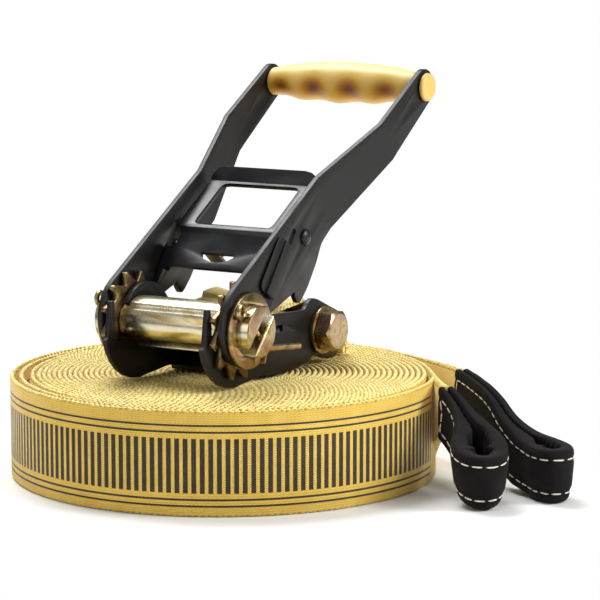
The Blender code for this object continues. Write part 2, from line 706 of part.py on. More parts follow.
def anchor_bolt(ratchet):
    outside = BASE_HALF_INSIDE + BASE_PLATE
    seat = outside + GAP + BOLT_WASHER
    head_edge = HEX_FLATS / 30
    head_near = seat + GAP + BOLT_HEAD
    end_far = seat + GAP + BOLT_NUT + BOLT_TAIL
    head = flat_blank([hexagon(HEX_FLATS)], BOLT_HEAD, head_edge)
    bolt = add("webbing_bolt", moved(head, lying_y(-(head_near - BOLT_HEAD / 2))), zinc_yellow, ratchet)
    shank_start = -(head_near - BOLT_HEAD / 2)
    shank = cylinder(BOLT_RADIUS, end_far - shank_start, 28, BOLT_RADIUS / 10)
    boolean(bolt, [moved(shank, lying_y((end_far + shank_start) / 2))], "UNION")
    hole = arc((0.0, 0.0), BOLT_RADIUS + GAP, 0.0, 2 * pi)[:-1]
    nut = flat_blank([hexagon(HEX_FLATS), hole], BOLT_NUT, head_edge)
    add("bolt_nut", moved(nut, lying_y(seat + GAP + BOLT_NUT / 2)), zinc_yellow, ratchet)
    rim = arc((0.0, 0.0), BOLT_WASHER_RADIUS, 0.0, 2 * pi)[:-1]
    for side, name in ((-1, "bolt_washer_near"), (1, "bolt_washer_far")):
        ring = flat_blank([rim, hole], BOLT_WASHER)
        add(name, moved(ring, lying_y(side * (outside + GAP + BOLT_WASHER / 2))), zinc_yellow, ratchet)
    tube = arc((0.0, 0.0), SLEEVE_TUBE_RADIUS, 0.0, 2 * pi)[:-1]
    spacer = flat_blank([tube, hole], 2 * (BASE_HALF_INSIDE - GAP))
    add("bolt_sleeve", moved(spacer, lying_y(0.0)), zinc_yellow, ratchet)


def lock_pawl_outline():
    """Locking pawl seen from above: x along its slide, y across, as far as both wheels."""
    tip = sqrt((WHEEL_TIP_RADIUS + LOCK_TIP_GAP) ** 2 - LOCK_Z ** 2)
    ear_back = LOCK_NECK_FRONT + LOCK_NECK / 2
    inside = BASE_HALF_INSIDE - GAP
    past = BASE_HALF_INSIDE + BASE_PLATE + GAP
    ear = LEVER_HALF_INSIDE - GAP
    body_front = tip + WHEEL_THICKNESS
    back = LOCK_NECK_FRONT + LOCK_NECK
    half = [(body_front, 0.0), (body_front, inside), (LOCK_NECK_FRONT, inside), (LOCK_NECK_FRONT, past),
            (tip, past), (tip, ear), (ear_back, ear), (ear_back + LOCK_NECK / 2, past), (back, past),
            (back, inside), (LOCK_BACK, inside), (LOCK_BACK, 0.0)]
    other = [(x, -y) for x, y in reversed(half[1:-1])]
    return half[1:-1] + other


def lock_pawl(ratchet):
    slide = pivot("lock_pawl_slide", (0.0, 0.0, LOCK_Z), parent=ratchet)
    add("base_pawl", flat_blank([lock_pawl_outline()], LOCK_PLATE), steel_black, slide)
    return slide


def coil(length, curls, radius, wire):
    """A compression spring along X with its wire ends tucked flat against both seats."""
    curve = bpy.data.curves.new("coil", "CURVE")
    curve.dimensions = "3D"
    curve.bevel_depth = wire
    curve.bevel_resolution = 1
    curve.use_fill_caps = True
    points = SPRING_POINTS_A_CURL * curls
    spline = curve.splines.new("POLY")
    spline.points.add(points)
    middle = radius - wire
    for k, point in enumerate(spline.points):
        angle = 2 * pi * k / SPRING_POINTS_A_CURL
        along = wire + (length - 2 * wire) * k / points
        point.co = (along, middle * cos(angle), middle * sin(angle), 1.0)
    holder = bpy.data.objects.new("coil", curve)
    bpy.context.scene.collection.objects.link(holder)
    graph = bpy.context.evaluated_depsgraph_get()
    mesh = bpy.data.meshes.new_from_object(holder.evaluated_get(graph))
    bpy.data.objects.remove(holder)
    bpy.data.curves.remove(curve)
    edit = bmesh.new()
    edit.from_mesh(mesh)
    bmesh.ops.remove_doubles(edit, verts=edit.verts, dist=WELD)
    bmesh.ops.recalc_face_normals(edit, faces=edit.faces)
    edit.to_mesh(mesh)
    edit.free()
    return mesh


def lock_spring(ratchet):
    room = CROSS_FLANGE_X - CROSS_PLATE / 2 - LOCK_BACK - 2 * GAP
    mesh = coil(room, SPRING_CURLS, SPRING_RADIUS, SPRING_WIRE)
    mesh = moved(mesh, Matrix.Translation((LOCK_BACK + GAP, 0.0, LOCK_Z)))
    add("base_pawl_spring", mesh, zinc_yellow, ratchet)


# The anchor strap inside the frame, in shares of BASE_REACH from the mandrel's axis: up from the roll, over
# the bolt, a slack bight over the locking pawl, back under the bolt and down beside its own start.

ANCHOR_STRAP_SHARES = [
    (1.1192, -0.2778), (1.1172, -0.2463), (1.0975, -0.2030), (1.0483, -0.1596), (0.9655, -0.1025),
    (0.8768, -0.0414), (0.7882, -0.0079), (0.7094, 0.0118), (0.6305, 0.0296), (0.5320, 0.0365),
    (0.4532, 0.0315), (0.4197, 0.0256), (0.4039, 0.0118), (0.4197, -0.0030), (0.4532, -0.0069),
    (0.5320, -0.0069), (0.5911, -0.0158), (0.6345, -0.0532), (0.6660, -0.1084), (0.7015, -0.1635),
    (0.7488, -0.2010), (0.8079, -0.2108), (0.8867, -0.2049), (0.9655, -0.1892), (1.0246, -0.1892),
    (1.0680, -0.2207), (1.0857, -0.2562), (1.0867, -0.2778),
]


def ratchet_strap(ratchet):
    points = smooth_path([(x * BASE_REACH, z * BASE_REACH) for x, z in ANCHOR_STRAP_SHARES], STRAP_STEP)
    gap = least_self_gap(points, WEBBING_THICKNESS, 4)
    print("ratchet_strap: least gap between its layers mm", round(gap / MM, 3))
    mesh = ribbon(points, WEBBING_WIDTH, WEBBING_THICKNESS)
    matrix = Matrix.Translation((0.0, WEBBING_WIDTH / 2, 0.0)) @ STANDING
    add("ratchet_strap", moved(mesh, matrix), webbing_yellow, ratchet)


# Mandrel group

def half_round(radius, flat):
    """Half-moon outline on the +y side of a flat that lies off the axis."""
    start = atan2(flat, sqrt(radius ** 2 - flat ** 2))
    return arc((0.0, 0.0), radius, start, pi - start)


def mandrel(spin):
    """Two half-round shafts, the toothed wheels that hold them apart, washers and split pins."""
    flat = MANDREL_SLOT / 2
    holes_y = pin_seat()
    for side, name in ((1, "mandrel_half_upper"), (-1, "mandrel_half_lower")):
        outline = half_round(MANDREL_RADIUS, flat)
        if side < 0:
            outline = [(-x, -y) for x, y in outline]
        shaft = add(name, standing_plate([outline], 2 * MANDREL_HALF_LENGTH, 0.0, 2 * EDGE), zinc_yellow, spin)
        drills = []
        for y in (-holes_y, holes_y):
            drill = cylinder(PIN_RADIUS + GAP, 2 * (MANDREL_RADIUS + OVERRUN), 16)
            turned = Matrix.Rotation(DRILL_TURN, 4, "Z")   # keeps its edges off the shaft's ridge
            drills.append(moved(drill, Matrix.Translation((0.0, y, 0.0)) @ turned))
        boolean(shaft, drills)
    wheels(spin, flat)
    washers(spin)
    for side, name in ((-1, "split_pin_near"), (1, "split_pin_far")):
        split_pin(name, spin, side)


def pin_seat():
    """Y of the split pins: just outside the washers."""
    return LEVER_HALF_INSIDE + LEVER_PLATE + 2 * GAP + WASHER_THICKNESS + PIN_RADIUS + 2 * GAP


def wheel_outline():
    pitch = 2 * pi / WHEEL_TEETH
    outline = []
    for k in range(WHEEL_TEETH):
        start = k * pitch
        rise = start + pitch * TOOTH_BACK_SHARE
        outline.append(spiral_point(start, WHEEL_ROOT_RADIUS))
        outline.append(spiral_point(start + pitch * TOOTH_LAND_SHARE, WHEEL_ROOT_RADIUS))
        outline.append(spiral_point(rise, WHEEL_TIP_RADIUS))
        outline.append(spiral_point(rise + pitch * TOOTH_LAND_SHARE, WHEEL_TIP_RADIUS))
    return outline


def wheels(spin, flat):
    bore = half_round(MANDREL_RADIUS + GAP, flat - GAP)
    other = [(-x, -y) for x, y in bore]
    inner = BASE_HALF_INSIDE + BASE_PLATE
    middle = (inner + LEVER_HALF_INSIDE) / 2
    for side, name in ((-1, "ratchet_wheel_near"), (1, "ratchet_wheel_far")):
        mesh = standing_plate([wheel_outline(), bore, other], WHEEL_THICKNESS, side * middle)
        add(name, mesh, zinc_yellow, spin)


def washers(spin):
    rim = arc((0.0, 0.0), WASHER_RADIUS, 0.0, 2 * pi, radians(10))[:-1]
    hole = arc((0.0, 0.0), MANDREL_RADIUS + GAP, 0.0, 2 * pi)[:-1]
    middle = LEVER_HALF_INSIDE + LEVER_PLATE + GAP + WASHER_THICKNESS / 2
    for side, name in ((-1, "washer_near"), (1, "washer_far")):
        add(name, standing_plate([rim, hole], WASHER_THICKNESS, side * middle), zinc_yellow, spin)


def flat_leg(points, half_width, half_thickness, outwards):
    """A flattened pin leg along a path, as rings of eight points; outwards is its thin direction."""
    sections = []
    for i, point in enumerate(points):
        before, after = Vector(points[max(i - 1, 0)]), Vector(points[min(i + 1, len(points) - 1)])
        heading = (after - before).normalized()
        thin = (outwards - heading * outwards.dot(heading)).normalized()
        wide = heading.cross(thin)
        ring = []
        for u, v in ((1, 0.45), (0.55, 1), (-0.55, 1), (-1, 0.45),
                     (-1, -0.45), (-0.55, -1), (0.55, -1), (1, -0.45)):
            ring.append(Vector(point) + wide * half_width * u + thin * half_thickness * v)
        sections.append(ring)
    return loft(sections)


def split_pin(name, spin, side):
    """Split pin across both shaft ends: an eye, the body, one leg laid out long and one bent down short."""
    y = side * pin_seat()
    out = Vector((0.0, side, 0.0))
    low = -(MANDREL_RADIUS + GAP + PIN_LEG_WIDTH)
    high = MANDREL_RADIUS + PIN_EYE_REACH / 2
    body = cylinder(PIN_RADIUS, high - low, 16)
    pin = add(name, moved(body, Matrix.Translation((0.0, y, (high + low) / 2))), zinc_yellow, spin)
    eye = ring_solid(PIN_EYE_RADIUS, PIN_EYE_WIRE)
    eye_z = MANDREL_RADIUS + PIN_EYE_REACH + PIN_EYE_WIRE / 2
    eye = moved(eye, Matrix.Translation((0.0, y, eye_z)) @ STANDING)
    long_end = (PIN_LONG_LEG * sin(PIN_LONG_LEAN), y + side * PIN_SPLAY,
                low - PIN_LONG_LEG * cos(PIN_LONG_LEAN))
    short_low = -(MANDREL_RADIUS + GAP + PIN_LEG_THICKNESS)
    short_leg = [(0.0, y, short_low), (-PIN_SHORT_LEG / 2, y, short_low - PIN_SHORT_LEG / 30),
                 (-PIN_SHORT_LEG, y + side * PIN_SPLAY / 3, short_low - PIN_SHORT_LEG / 10)]
    legs = [flat_leg([(0.0, y, low), long_end], PIN_LEG_WIDTH, PIN_LEG_THICKNESS, out),
            flat_leg(short_leg, PIN_LEG_THICKNESS, PIN_LEG_WIDTH, out)]
    boolean(pin, [eye] + legs, "UNION")


def ring_solid(major, minor, around=20, sides=8):
    """A torus about Z."""
    sections = []
    for k in range(around):
        a = 2 * pi * k / around
        sections.append([((major + minor * cos(b)) * cos(a), (major + minor * cos(b)) * sin(a), minor * sin(b))
                         for b in (2 * pi * j / sides for j in range(sides))])
    return loft(sections, closed=True)


# Lever

def lever_point(share):
    return share[0] * LEVER_LENGTH, share[1] * LEVER_LENGTH


def lever_outline():
    """Side plate seen from the near side: x from the mandrel's axis to the grip's, y up."""
    hub = lever_point(LEVER_HUB_SHARES)
    hub_end = arc(hub, LEVER_HUB_RADIUS, radians(85), radians(330))
    lower = rounded(shared([(0.224, -0.078), (0.226, -0.114), (0.241, -0.117), (0.286, -0.110), (0.356, -0.087),
                            (0.408, -0.061), (0.472, -0.060), (0.800, -0.050)], LEVER_LENGTH, LEVER_LENGTH),
                    LEVER_LENGTH / 90, 2)
    grip_end = arc((LEVER_LENGTH, 0.0), LEVER_END_RADIUS, radians(-92), radians(85))
    upper = shared([(0.741, 0.068), (0.493, 0.093)], LEVER_LENGTH, LEVER_LENGTH)
    return hub_end + lower + grip_end + upper


def pawl_matrix():
    """Frame of the driving pawl on the lever: X along its slide, Z out of its upper face."""
    start = lever_point(PAWL_START_SHARES)
    along = (cos(PAWL_ANGLE), 0.0, sin(PAWL_ANGLE))
    return frame_from((start[0], 0.0, start[1]), along, (-sin(PAWL_ANGLE), 0.0, cos(PAWL_ANGLE)))


def on_lever(along, behind):
    """Lever-plane (x, z) of a point given in the pawl's frame."""
    spot = pawl_matrix() @ Vector((along, 0.0, -behind))
    return spot.x, spot.z


def slot_outline(low, high, half, offset=0.0):
    corners = [(low, -half), (high, -half), (high, half), (low, half)]
    return [on_lever(a, offset - b) for a, b in rounded(corners, half / 2, 2)]


def flare(point):
    """How far a lever plate has stepped out: nothing below its first bend, all past its second."""
    (ax, ay), (bx, by) = (lever_point(s) for s in FLARE_START_SHARES)
    (cx, cy), (dx, dy) = (lever_point(s) for s in FLARE_END_SHARES)
    past = ((point[0] - ax) * (ay - by) - (point[1] - ay) * (ax - bx)) / hypot(ax - bx, ay - by)
    left = -((point[0] - cx) * (cy - dy) - (point[1] - cy) * (cx - dx)) / hypot(cx - dx, cy - dy)
    if past <= 0:
        return 0.0
    if left <= 0:
        return LEVER_FLARE
    return LEVER_FLARE * past / (past + left)


def lever_plates(lever):
    hub = arc((0.0, 0.0), MANDREL_RADIUS + GAP, 0.0, 2 * pi)[:-1]
    rod = arc((LEVER_LENGTH, 0.0), GRIP_ROD_RADIUS + GAP, 0.0, 2 * pi, radians(23))[:-1]
    tie = arc(on_lever(TIE_ALONG, TIE_BEHIND), TIE_SHANK + GAP, 0.0, 2 * pi, radians(31))[:-1]
    slot = slot_outline(PAWL_EAR_START - GAP, SLOT_TOP, SLOT_WIDTH / 2)
    middle = LEVER_HALF_INSIDE + LEVER_PLATE / 2
    for side, name in ((-1, "handle_plate_near"), (1, "handle_plate_far")):
        mesh = standing_plate([lever_outline(), hub, rod, tie, slot], LEVER_PLATE, side * middle)
        edit = bmesh.new()
        edit.from_mesh(mesh)
        for shares in (FLARE_START_SHARES, FLARE_END_SHARES):
            (ax, ay), (bx, by) = (lever_point(s) for s in shares)
            normal = Vector((ay - by, 0.0, bx - ax)).normalized()
            cut_across(edit, (ax, 0.0, ay), normal)
        for vertex in edit.verts:
            vertex.co.y += side * flare((vertex.co.x, vertex.co.z))
        edit.to_mesh(mesh)
        edit.free()
        add(name, mesh, steel_black, lever)


def slot_covers(lever):
    """Pressed covers over the pawl's guide slots: a raised bar over the slot and a thin flange in front."""
    outside = LEVER_HALF_INSIDE + LEVER_PLATE
    for side, name in ((-1, "slot_cover_near"), (1, "slot_cover_far")):
        outline = slot_outline(COVER_LOW, COVER_HIGH, COVER_HALF_WIDTH, COVER_SIDE)
        mesh = standing_plate([outline], COVER_HEIGHT, side * (outside + GAP + COVER_HEIGHT / 2), 2 * EDGE)
        cover = add(name, mesh, steel_black, lever)
        front, back = COVER_SIDE - COVER_HALF_WIDTH - OVERRUN, COVER_SIDE + COVER_HALF_WIDTH - COVER_BAR
        low, high = COVER_LOW - OVERRUN, COVER_HIGH + OVERRUN
        above = [on_lever(a, b) for a, b in ((low, back), (high, back), (high, front), (low, front))]
        start = outside + GAP + COVER_FLANGE
        depth = COVER_HEIGHT + OVERRUN
        boolean(cover, [standing_plate([above], depth, side * (start + depth / 2), 0.0)])


def rivet_profile(shank, half_grip, head, height):
    """Half of a two-headed rivet as (radius, height) pairs, top first, down to its middle."""
    dome = [(head * sin(radians(a)), half_grip + height * cos(radians(a))) for a in (0, 35, 65, 90)]
    return dome + [(shank, half_grip)]


def two_headed(shank, half_grip, head, height, sides, core=None):
    """A rivet along Z with a domed head at each end; core is the (radius, half length) of a thicker middle."""
    top = rivet_profile(shank, half_grip, head, height)
    if core:
        top += [(shank, core[1]), (core[0], core[1])]
    bottom = [(radius, -z) for radius, z in reversed(top)]
    return turned(top + bottom, sides)


def lever_tie(lever):
    x, z = on_lever(TIE_ALONG, TIE_BEHIND)
    half_grip = LEVER_HALF_INSIDE + LEVER_PLATE + GAP
    mesh = two_headed(TIE_SHANK, half_grip, TIE_HEAD_RADIUS, TIE_HEAD, 16,
                      (TIE_RADIUS, LEVER_HALF_INSIDE - GAP))
    add("handle_tie", moved(mesh, Matrix.Translation((x, 0.0, z)) @ STANDING), steel_black, lever)


def guide_studs(lever):
    """Domed studs inside each lever plate, beside the guide slot; they keep the pawl's plate off it."""
    for side, place in ((-1, "near"), (1, "far")):
        for (along, behind), name in zip(STUD_PLACES, ("upper_rivet_", "lower_rivet_")):
            x, z = on_lever(along, behind)
            dome = [(STUD_RADIUS * sin(radians(a)), STUD_HEIGHT * cos(radians(a))) for a in (0, 35, 65)]
            mesh = turned(dome + [(STUD_RADIUS, STUD_HEIGHT / 4), (STUD_RADIUS, 0.0), (0.0, 0.0)], 12)
            place_y = side * (LEVER_HALF_INSIDE - GAP)
            matrix = Matrix.Translation((x, place_y, z)) @ Matrix.Rotation(radians(90) * side, 4, "X")
            add(name + place, moved(mesh, matrix), steel_black, lever)


def grip_radius(along, angle):
    """Radius of the grip at a place along it and round it; the finger troughs face down and forwards."""
    half = LEVER_HALF_INSIDE + LEVER_FLARE - GAP
    t = along / half
    front = (1 + cos(angle)) / 2
    crown = GRIP_CROWN_BACK + (GRIP_CROWN_FRONT - GRIP_CROWN_BACK) * front
    radius = GRIP_END_RADIUS + crown * (1 - t * t)
    finger = (along - GRIP_FINGER_MIDDLE) / GRIP_FINGER_SPAN * GRIP_FINGERS
    inside = max(0.0, 1 - (2 * (along - GRIP_FINGER_MIDDLE) / GRIP_FINGER_SPAN) ** 8)
    facing = max(0.0, cos(angle)) ** 1.4
    return radius - GRIP_TROUGH * inside * facing * (0.5 + 0.5 * cos(2 * pi * (finger - 0.5)))


def grip(lever):
    half = LEVER_HALF_INSIDE + LEVER_FLARE - GAP
    bore = GRIP_ROD_RADIUS + GAP
    place = Matrix.Translation((LEVER_LENGTH, 0.0, 0.0)) @ Matrix.Rotation(GRIP_FACING, 4, "Y")
    outer, inner = [], []
    for k in range(GRIP_RINGS):
        along = half * (2 * k / (GRIP_RINGS - 1) - 1)
        soft = GRIP_END_SOFT if k in (0, GRIP_RINGS - 1) else 0.0
        angles = [2 * pi * i / GRIP_SIDES for i in range(GRIP_SIDES)]
        outer.append([((grip_radius(along, a) - soft) * cos(a), along, (grip_radius(along, a) - soft) * sin(a))
                      for a in angles])
    for along in (half, -half):
        angles = [2 * pi * i / GRIP_SIDES for i in range(GRIP_SIDES)]
        inner.append([(bore * cos(a), along, bore * sin(a)) for a in angles])
    add("grip", moved(loft(outer + inner, closed=True), place), moulded_yellow, lever)
    rod_half = LEVER_HALF_INSIDE + LEVER_FLARE + LEVER_PLATE + GRIP_ROD_STICKOUT
    rod = cylinder(GRIP_ROD_RADIUS, 2 * rod_half, 20, EDGE)
    add("grip_rod", moved(rod, Matrix.Translation((LEVER_LENGTH, 0.0, 0.0)) @ STANDING), zinc_yellow, lever)
    outside = LEVER_HALF_INSIDE + LEVER_FLARE + LEVER_PLATE + GAP
    for side, name in ((-1, "grip_cap_near"), (1, "grip_cap_far")):
        dome = [(0.0, CAP_HEIGHT), (CAP_RADIUS / 2, CAP_HEIGHT - CAP_DOME / 4),
                (CAP_RADIUS * 0.85, CAP_HEIGHT - CAP_DOME),
                (CAP_RADIUS, CAP_HEIGHT - 2 * CAP_DOME), (CAP_RADIUS, 0.0), (bore, 0.0), (bore, CAP_BORE_DEPTH),
                (0.0, CAP_BORE_DEPTH)]
        turn = Matrix.Rotation(radians(-90 * side), 4, "X")
        matrix = Matrix.Translation((LEVER_LENGTH, side * outside, 0.0)) @ turn
        add(name, moved(turned(dome, 24), matrix), moulded_yellow, lever)


# Driving pawl

def pawl_leg_length():
    """From the pawl's lower edge down to just clear of the wheel's teeth."""
    start = lever_point(PAWL_START_SHARES)
    off_axis = abs(start[0] * sin(PAWL_ANGLE) - start[1] * cos(PAWL_ANGLE)) - PAWL_PLATE / 2
    along = start[0] * cos(PAWL_ANGLE) + start[1] * sin(PAWL_ANGLE)
    return along - sqrt((WHEEL_TIP_RADIUS + PAWL_TIP_GAP) ** 2 - off_axis ** 2)


def pawl_outline():
    """The pawl's flat blank: x along its slide, y across it."""
    leg = pawl_leg_length()
    ear = LEVER_HALF_INSIDE + LEVER_PLATE - GAP
    top = PAWL_FLAT + PAWL_RIDGE + PAWL_LOOP + PAWL_BAR
    inner_leg = PAWL_LEG_HALF - PAWL_LEG_WIDTH
    corner = arc((top - PAWL_CORNER, PAWL_HALF_WIDTH - PAWL_CORNER), PAWL_CORNER, radians(90), 0.0, radians(23))
    half = [(0.0, inner_leg - PAWL_LEG_WIDTH / 2), (-PAWL_LEG_WIDTH / 2, inner_leg), (-leg, inner_leg),
            (-leg, PAWL_LEG_HALF), (PAWL_EAR_START, PAWL_LEG_HALF), (PAWL_EAR_START, ear), (PAWL_EAR_END, ear),
            (PAWL_EAR_END + PAWL_PLATE, PAWL_FLAT_HALF), (PAWL_FLAT - PAWL_WAIST_BEFORE, PAWL_FLAT_HALF),
            (PAWL_FLAT + PAWL_RIDGE + PAWL_WAIST_AFTER, PAWL_HALF_WIDTH)] + corner
    return half + [(x, -y) for x, y in reversed(half)]


def pawl_window():
    low = PAWL_FLAT + PAWL_RIDGE + PAWL_SIDE_BAR / 4
    high = PAWL_FLAT + PAWL_RIDGE + PAWL_LOOP - PAWL_PLATE
    side = PAWL_HALF_WIDTH - PAWL_SIDE_BAR
    return rounded([(low, -side), (high, -side), (high, side), (low, side)], PAWL_CORNER / 2, 3)


def pawl_hole():
    """Half-moon window in the plate, flat towards the loop."""
    middle = (PAWL_HOLE_LOW + PAWL_HOLE_HIGH) / 2
    rise = PAWL_HOLE_HIGH - PAWL_HOLE_LOW
    curve = []
    for k in range(9):
        a = pi * k / 8
        curve.append((middle + rise / 2 - rise * sin(a) * 0.98, PAWL_HOLE_SIDE - PAWL_HOLE_HALF * cos(a)))
    return curve


def pawl_profile(along):
    """Where a place along the blank goes when the pawl is bent: (x, z) and the sheet's direction there."""
    bends = [(PAWL_FLAT, radians(24)), (PAWL_FLAT + PAWL_RIDGE, PAWL_LOOP_TILT),
             (PAWL_FLAT + PAWL_RIDGE + PAWL_LOOP, PAWL_BAR_TILT)]
    x, z, angle, start = 0.0, 0.0, 0.0, 0.0
    for place, tilt in bends:
        if along <= place:
            break
        x += (place - start) * cos(angle)
        z += (place - start) * sin(angle)
        start, angle = place, tilt
    return x + (along - start) * cos(angle), z + (along - start) * sin(angle), angle


def bent_pawl():
    mesh = flat_blank([pawl_outline(), pawl_window(), pawl_hole()], PAWL_PLATE)
    edit = bmesh.new()
    edit.from_mesh(mesh)
    cuts = (PAWL_FLAT, PAWL_FLAT + PAWL_RIDGE, PAWL_FLAT + PAWL_RIDGE + PAWL_LOOP)
    for cut in cuts:
        cut_across(edit, (cut, 0.0, 0.0), (1.0, 0.0, 0.0))
        bmesh.ops.remove_doubles(edit, verts=edit.verts, dist=2 * WELD)
        bmesh.ops.dissolve_degenerate(edit, edges=edit.edges, dist=WELD)
    for vertex in edit.verts:
        before = pawl_profile(vertex.co.x - WELD)
        here = pawl_profile(vertex.co.x)
        after = pawl_profile(vertex.co.x + WELD * 2)
        half = (before[2] + after[2]) / 2
        stretch = 1 / cos((after[2] - before[2]) / 2)
        rise = vertex.co.z * stretch
        vertex.co.x, vertex.co.z = here[0] - rise * sin(half), here[1] + rise * cos(half)
    bmesh.ops.triangulate(edit, faces=edit.faces)
    edit.to_mesh(mesh)
    edit.free()
    return mesh


def driving_pawl(lever):
    slide = pivot("drive_pawl_slide", parent=lever)
    slide.matrix_local = pawl_matrix()
    pawl = add("drive_pawl", bent_pawl(), steel_black, slide)
    back = -PAWL_PLATE / 2
    tongue = box((TONGUE_START, TONGUE_SIDE - TONGUE_HALF_WIDTH, -TONGUE_DEPTH),
                 (TONGUE_START + TONGUE_THICKNESS, TONGUE_SIDE + TONGUE_HALF_WIDTH, back / 2))
    boolean(pawl, [tongue], "UNION")
    spring_start = TONGUE_START + TONGUE_THICKNESS + GAP
    room = TIE_ALONG - TIE_RADIUS - GAP - spring_start
    mesh = coil(room, SPRING_CURLS, SPRING_RADIUS, SPRING_WIRE)
    matrix = pawl_matrix() @ Matrix.Translation((spring_start, TONGUE_SIDE, -PAWL_SPRING_DEPTH))
    add("drive_pawl_spring", moved(mesh, matrix), zinc_yellow, lever)


# Shading

def shade():
    for piece in collection("slackline_kit").objects:
        if piece.type == "MESH":
            piece.data.shade_smooth()
            piece.data.set_sharp_from_angle(angle=radians(30))


def build():
    for piece in list(bpy.data.objects):
        bpy.data.objects.remove(piece)
    loops = pivot("loop_frame", turn=LOOP_TURN, about="Z")
    end_angle, last_radius, thickness = webbing_roll(loops)
    wrap = strap_wrap(loops, end_angle, last_radius, thickness)
    line_end = spiral_point(end_angle, last_radius)
    line_heading = Vector((sin(end_angle), -cos(end_angle)))
    tail("line_tail", loops, line_end, line_heading, LINE_LOOP_ROUTE, thickness)
    wrap_heading = (Vector(wrap[-1]) - Vector(wrap[-2])).normalized()
    tail("strap_tail", loops, wrap[-1], wrap_heading, STRAP_LOOP_ROUTE, WEBBING_THICKNESS)
    padded_loop("line_sleeve", loops, LINE_LOOP_ROUTE)
    padded_loop("strap_sleeve", loops, STRAP_LOOP_ROUTE)

    axis = (AXIS_X, AXIS_Y, WEBBING_WIDTH + AXIS_ABOVE_ROLL)
    ratchet = pivot("ratchet_frame", axis)
    base_plates(ratchet)
    cross_plate(ratchet)
    anchor_bolt(ratchet)
    lock_pawl(ratchet)
    lock_spring(ratchet)
    ratchet_strap(ratchet)

    spin = pivot("mandrel_axis", axis, -MANDREL_REST_ANGLE)
    mandrel(spin)

    lever = pivot("lever_axis", axis, -LEVER_REST_ANGLE)
    lever_plates(lever)
    slot_covers(lever)
    lever_tie(lever)
    guide_studs(lever)
    grip(lever)
    driving_pawl(lever)
    bpy.context.view_layer.update()
    shade()


build()
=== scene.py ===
# %% [markdown]
# # A slackline kit, dressed for the studio
# A slackline kit as it is sold and stored: a long-lever ratchet stands on a wound roll of 50 mm webbing,
# and the two padded loop ends lie beside the roll. The solids of the hard pieces come from the packed
# model. This lesson rounds their edges, gives every piece a finish that says what it is made of, and
# rebuilds the soft pieces as woven bands, padded sleeves and stitches.

from functools import partial
from math import acos, atan2, cos, hypot, pi, radians, sin, sqrt

import bmesh
import bpy
from mathutils import Matrix, Vector, noise


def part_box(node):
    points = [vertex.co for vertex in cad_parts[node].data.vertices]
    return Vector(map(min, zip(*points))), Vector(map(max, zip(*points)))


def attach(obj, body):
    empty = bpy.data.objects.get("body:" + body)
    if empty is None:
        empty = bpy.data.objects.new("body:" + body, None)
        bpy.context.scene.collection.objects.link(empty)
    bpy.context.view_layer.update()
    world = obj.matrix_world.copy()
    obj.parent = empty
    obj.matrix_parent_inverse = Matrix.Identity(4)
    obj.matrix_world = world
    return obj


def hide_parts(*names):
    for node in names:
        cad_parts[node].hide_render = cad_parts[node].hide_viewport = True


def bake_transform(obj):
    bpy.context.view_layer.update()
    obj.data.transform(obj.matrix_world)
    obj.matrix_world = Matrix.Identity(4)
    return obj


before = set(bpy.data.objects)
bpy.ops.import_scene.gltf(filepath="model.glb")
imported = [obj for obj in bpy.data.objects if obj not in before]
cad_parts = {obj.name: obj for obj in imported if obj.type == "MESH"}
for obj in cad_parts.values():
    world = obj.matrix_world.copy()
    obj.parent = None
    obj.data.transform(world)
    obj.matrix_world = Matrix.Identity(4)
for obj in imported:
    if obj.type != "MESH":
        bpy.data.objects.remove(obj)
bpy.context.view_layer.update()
print("packed pieces:", len(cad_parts))

MM = 0.001
scene = bpy.context.scene
scene.view_settings.view_transform = "Standard"

# %% [markdown]
# ## The camera
# A picture taken with a long lens from a little above keeps the roll's circle calm and lets the lever's
# sides stay nearly parallel. The camera stands 1.3 m away and looks 8 degrees down, along the line that
# shows the ratchet from its bearing end.

# %% Camera
VIEW_TURN = radians(-58.5)  # the way the camera faces, seen from above
VIEW_PITCH = radians(8.45)
CAMERA_PLACE = (-1.0884, -0.7118, 0.2783)
away = Vector((-sin(VIEW_TURN), cos(VIEW_TURN), 0.0))
right = Vector((cos(VIEW_TURN), sin(VIEW_TURN), 0.0))


def in_scene(name, data):
    """An object in the scene that holds the data."""
    made = bpy.data.objects.new(name, data)
    scene.collection.objects.link(made)
    return made


lens = bpy.data.cameras.new("product_camera")
lens.sensor_width = 36.0
lens.lens = 159.3
camera = in_scene("product_camera", lens)
camera.location = CAMERA_PLACE
camera.rotation_euler = (radians(90) - VIEW_PITCH, 0.0, VIEW_TURN)
scene.camera = camera
print("camera looks along", [round(c, 3) for c in away])

# %% [markdown]
# ## Colours and nodes
# Colours are picked as sRGB hex values, the way a paint or thread card gives them, and turned to the
# linear numbers that a renderer adds up. One small helper adds a node, sets it and links it. An input
# may be a plain value or the output of another node, so a formula reads from the inside out.

# %% Helpers for colours and nodes


def linear(hex_colour, alpha=1.0):
    """Linear RGBA of an sRGB hex colour."""
    parts = [int(hex_colour[k:k + 2], 16) / 255 for k in (1, 3, 5)]
    return (*[p / 12.92 if p <= 0.04045 else ((p + 0.055) / 1.055) ** 2.4 for p in parts], alpha)


def set_inputs(made, inputs):
    """Sets or links a node's inputs, which are given by name or in their order."""
    for key, value in inputs.items() if isinstance(inputs, dict) else enumerate(inputs):
        if isinstance(value, bpy.types.NodeSocket):
            made.id_data.links.new(value, made.inputs[key])
        else:
            made.inputs[key].default_value = value


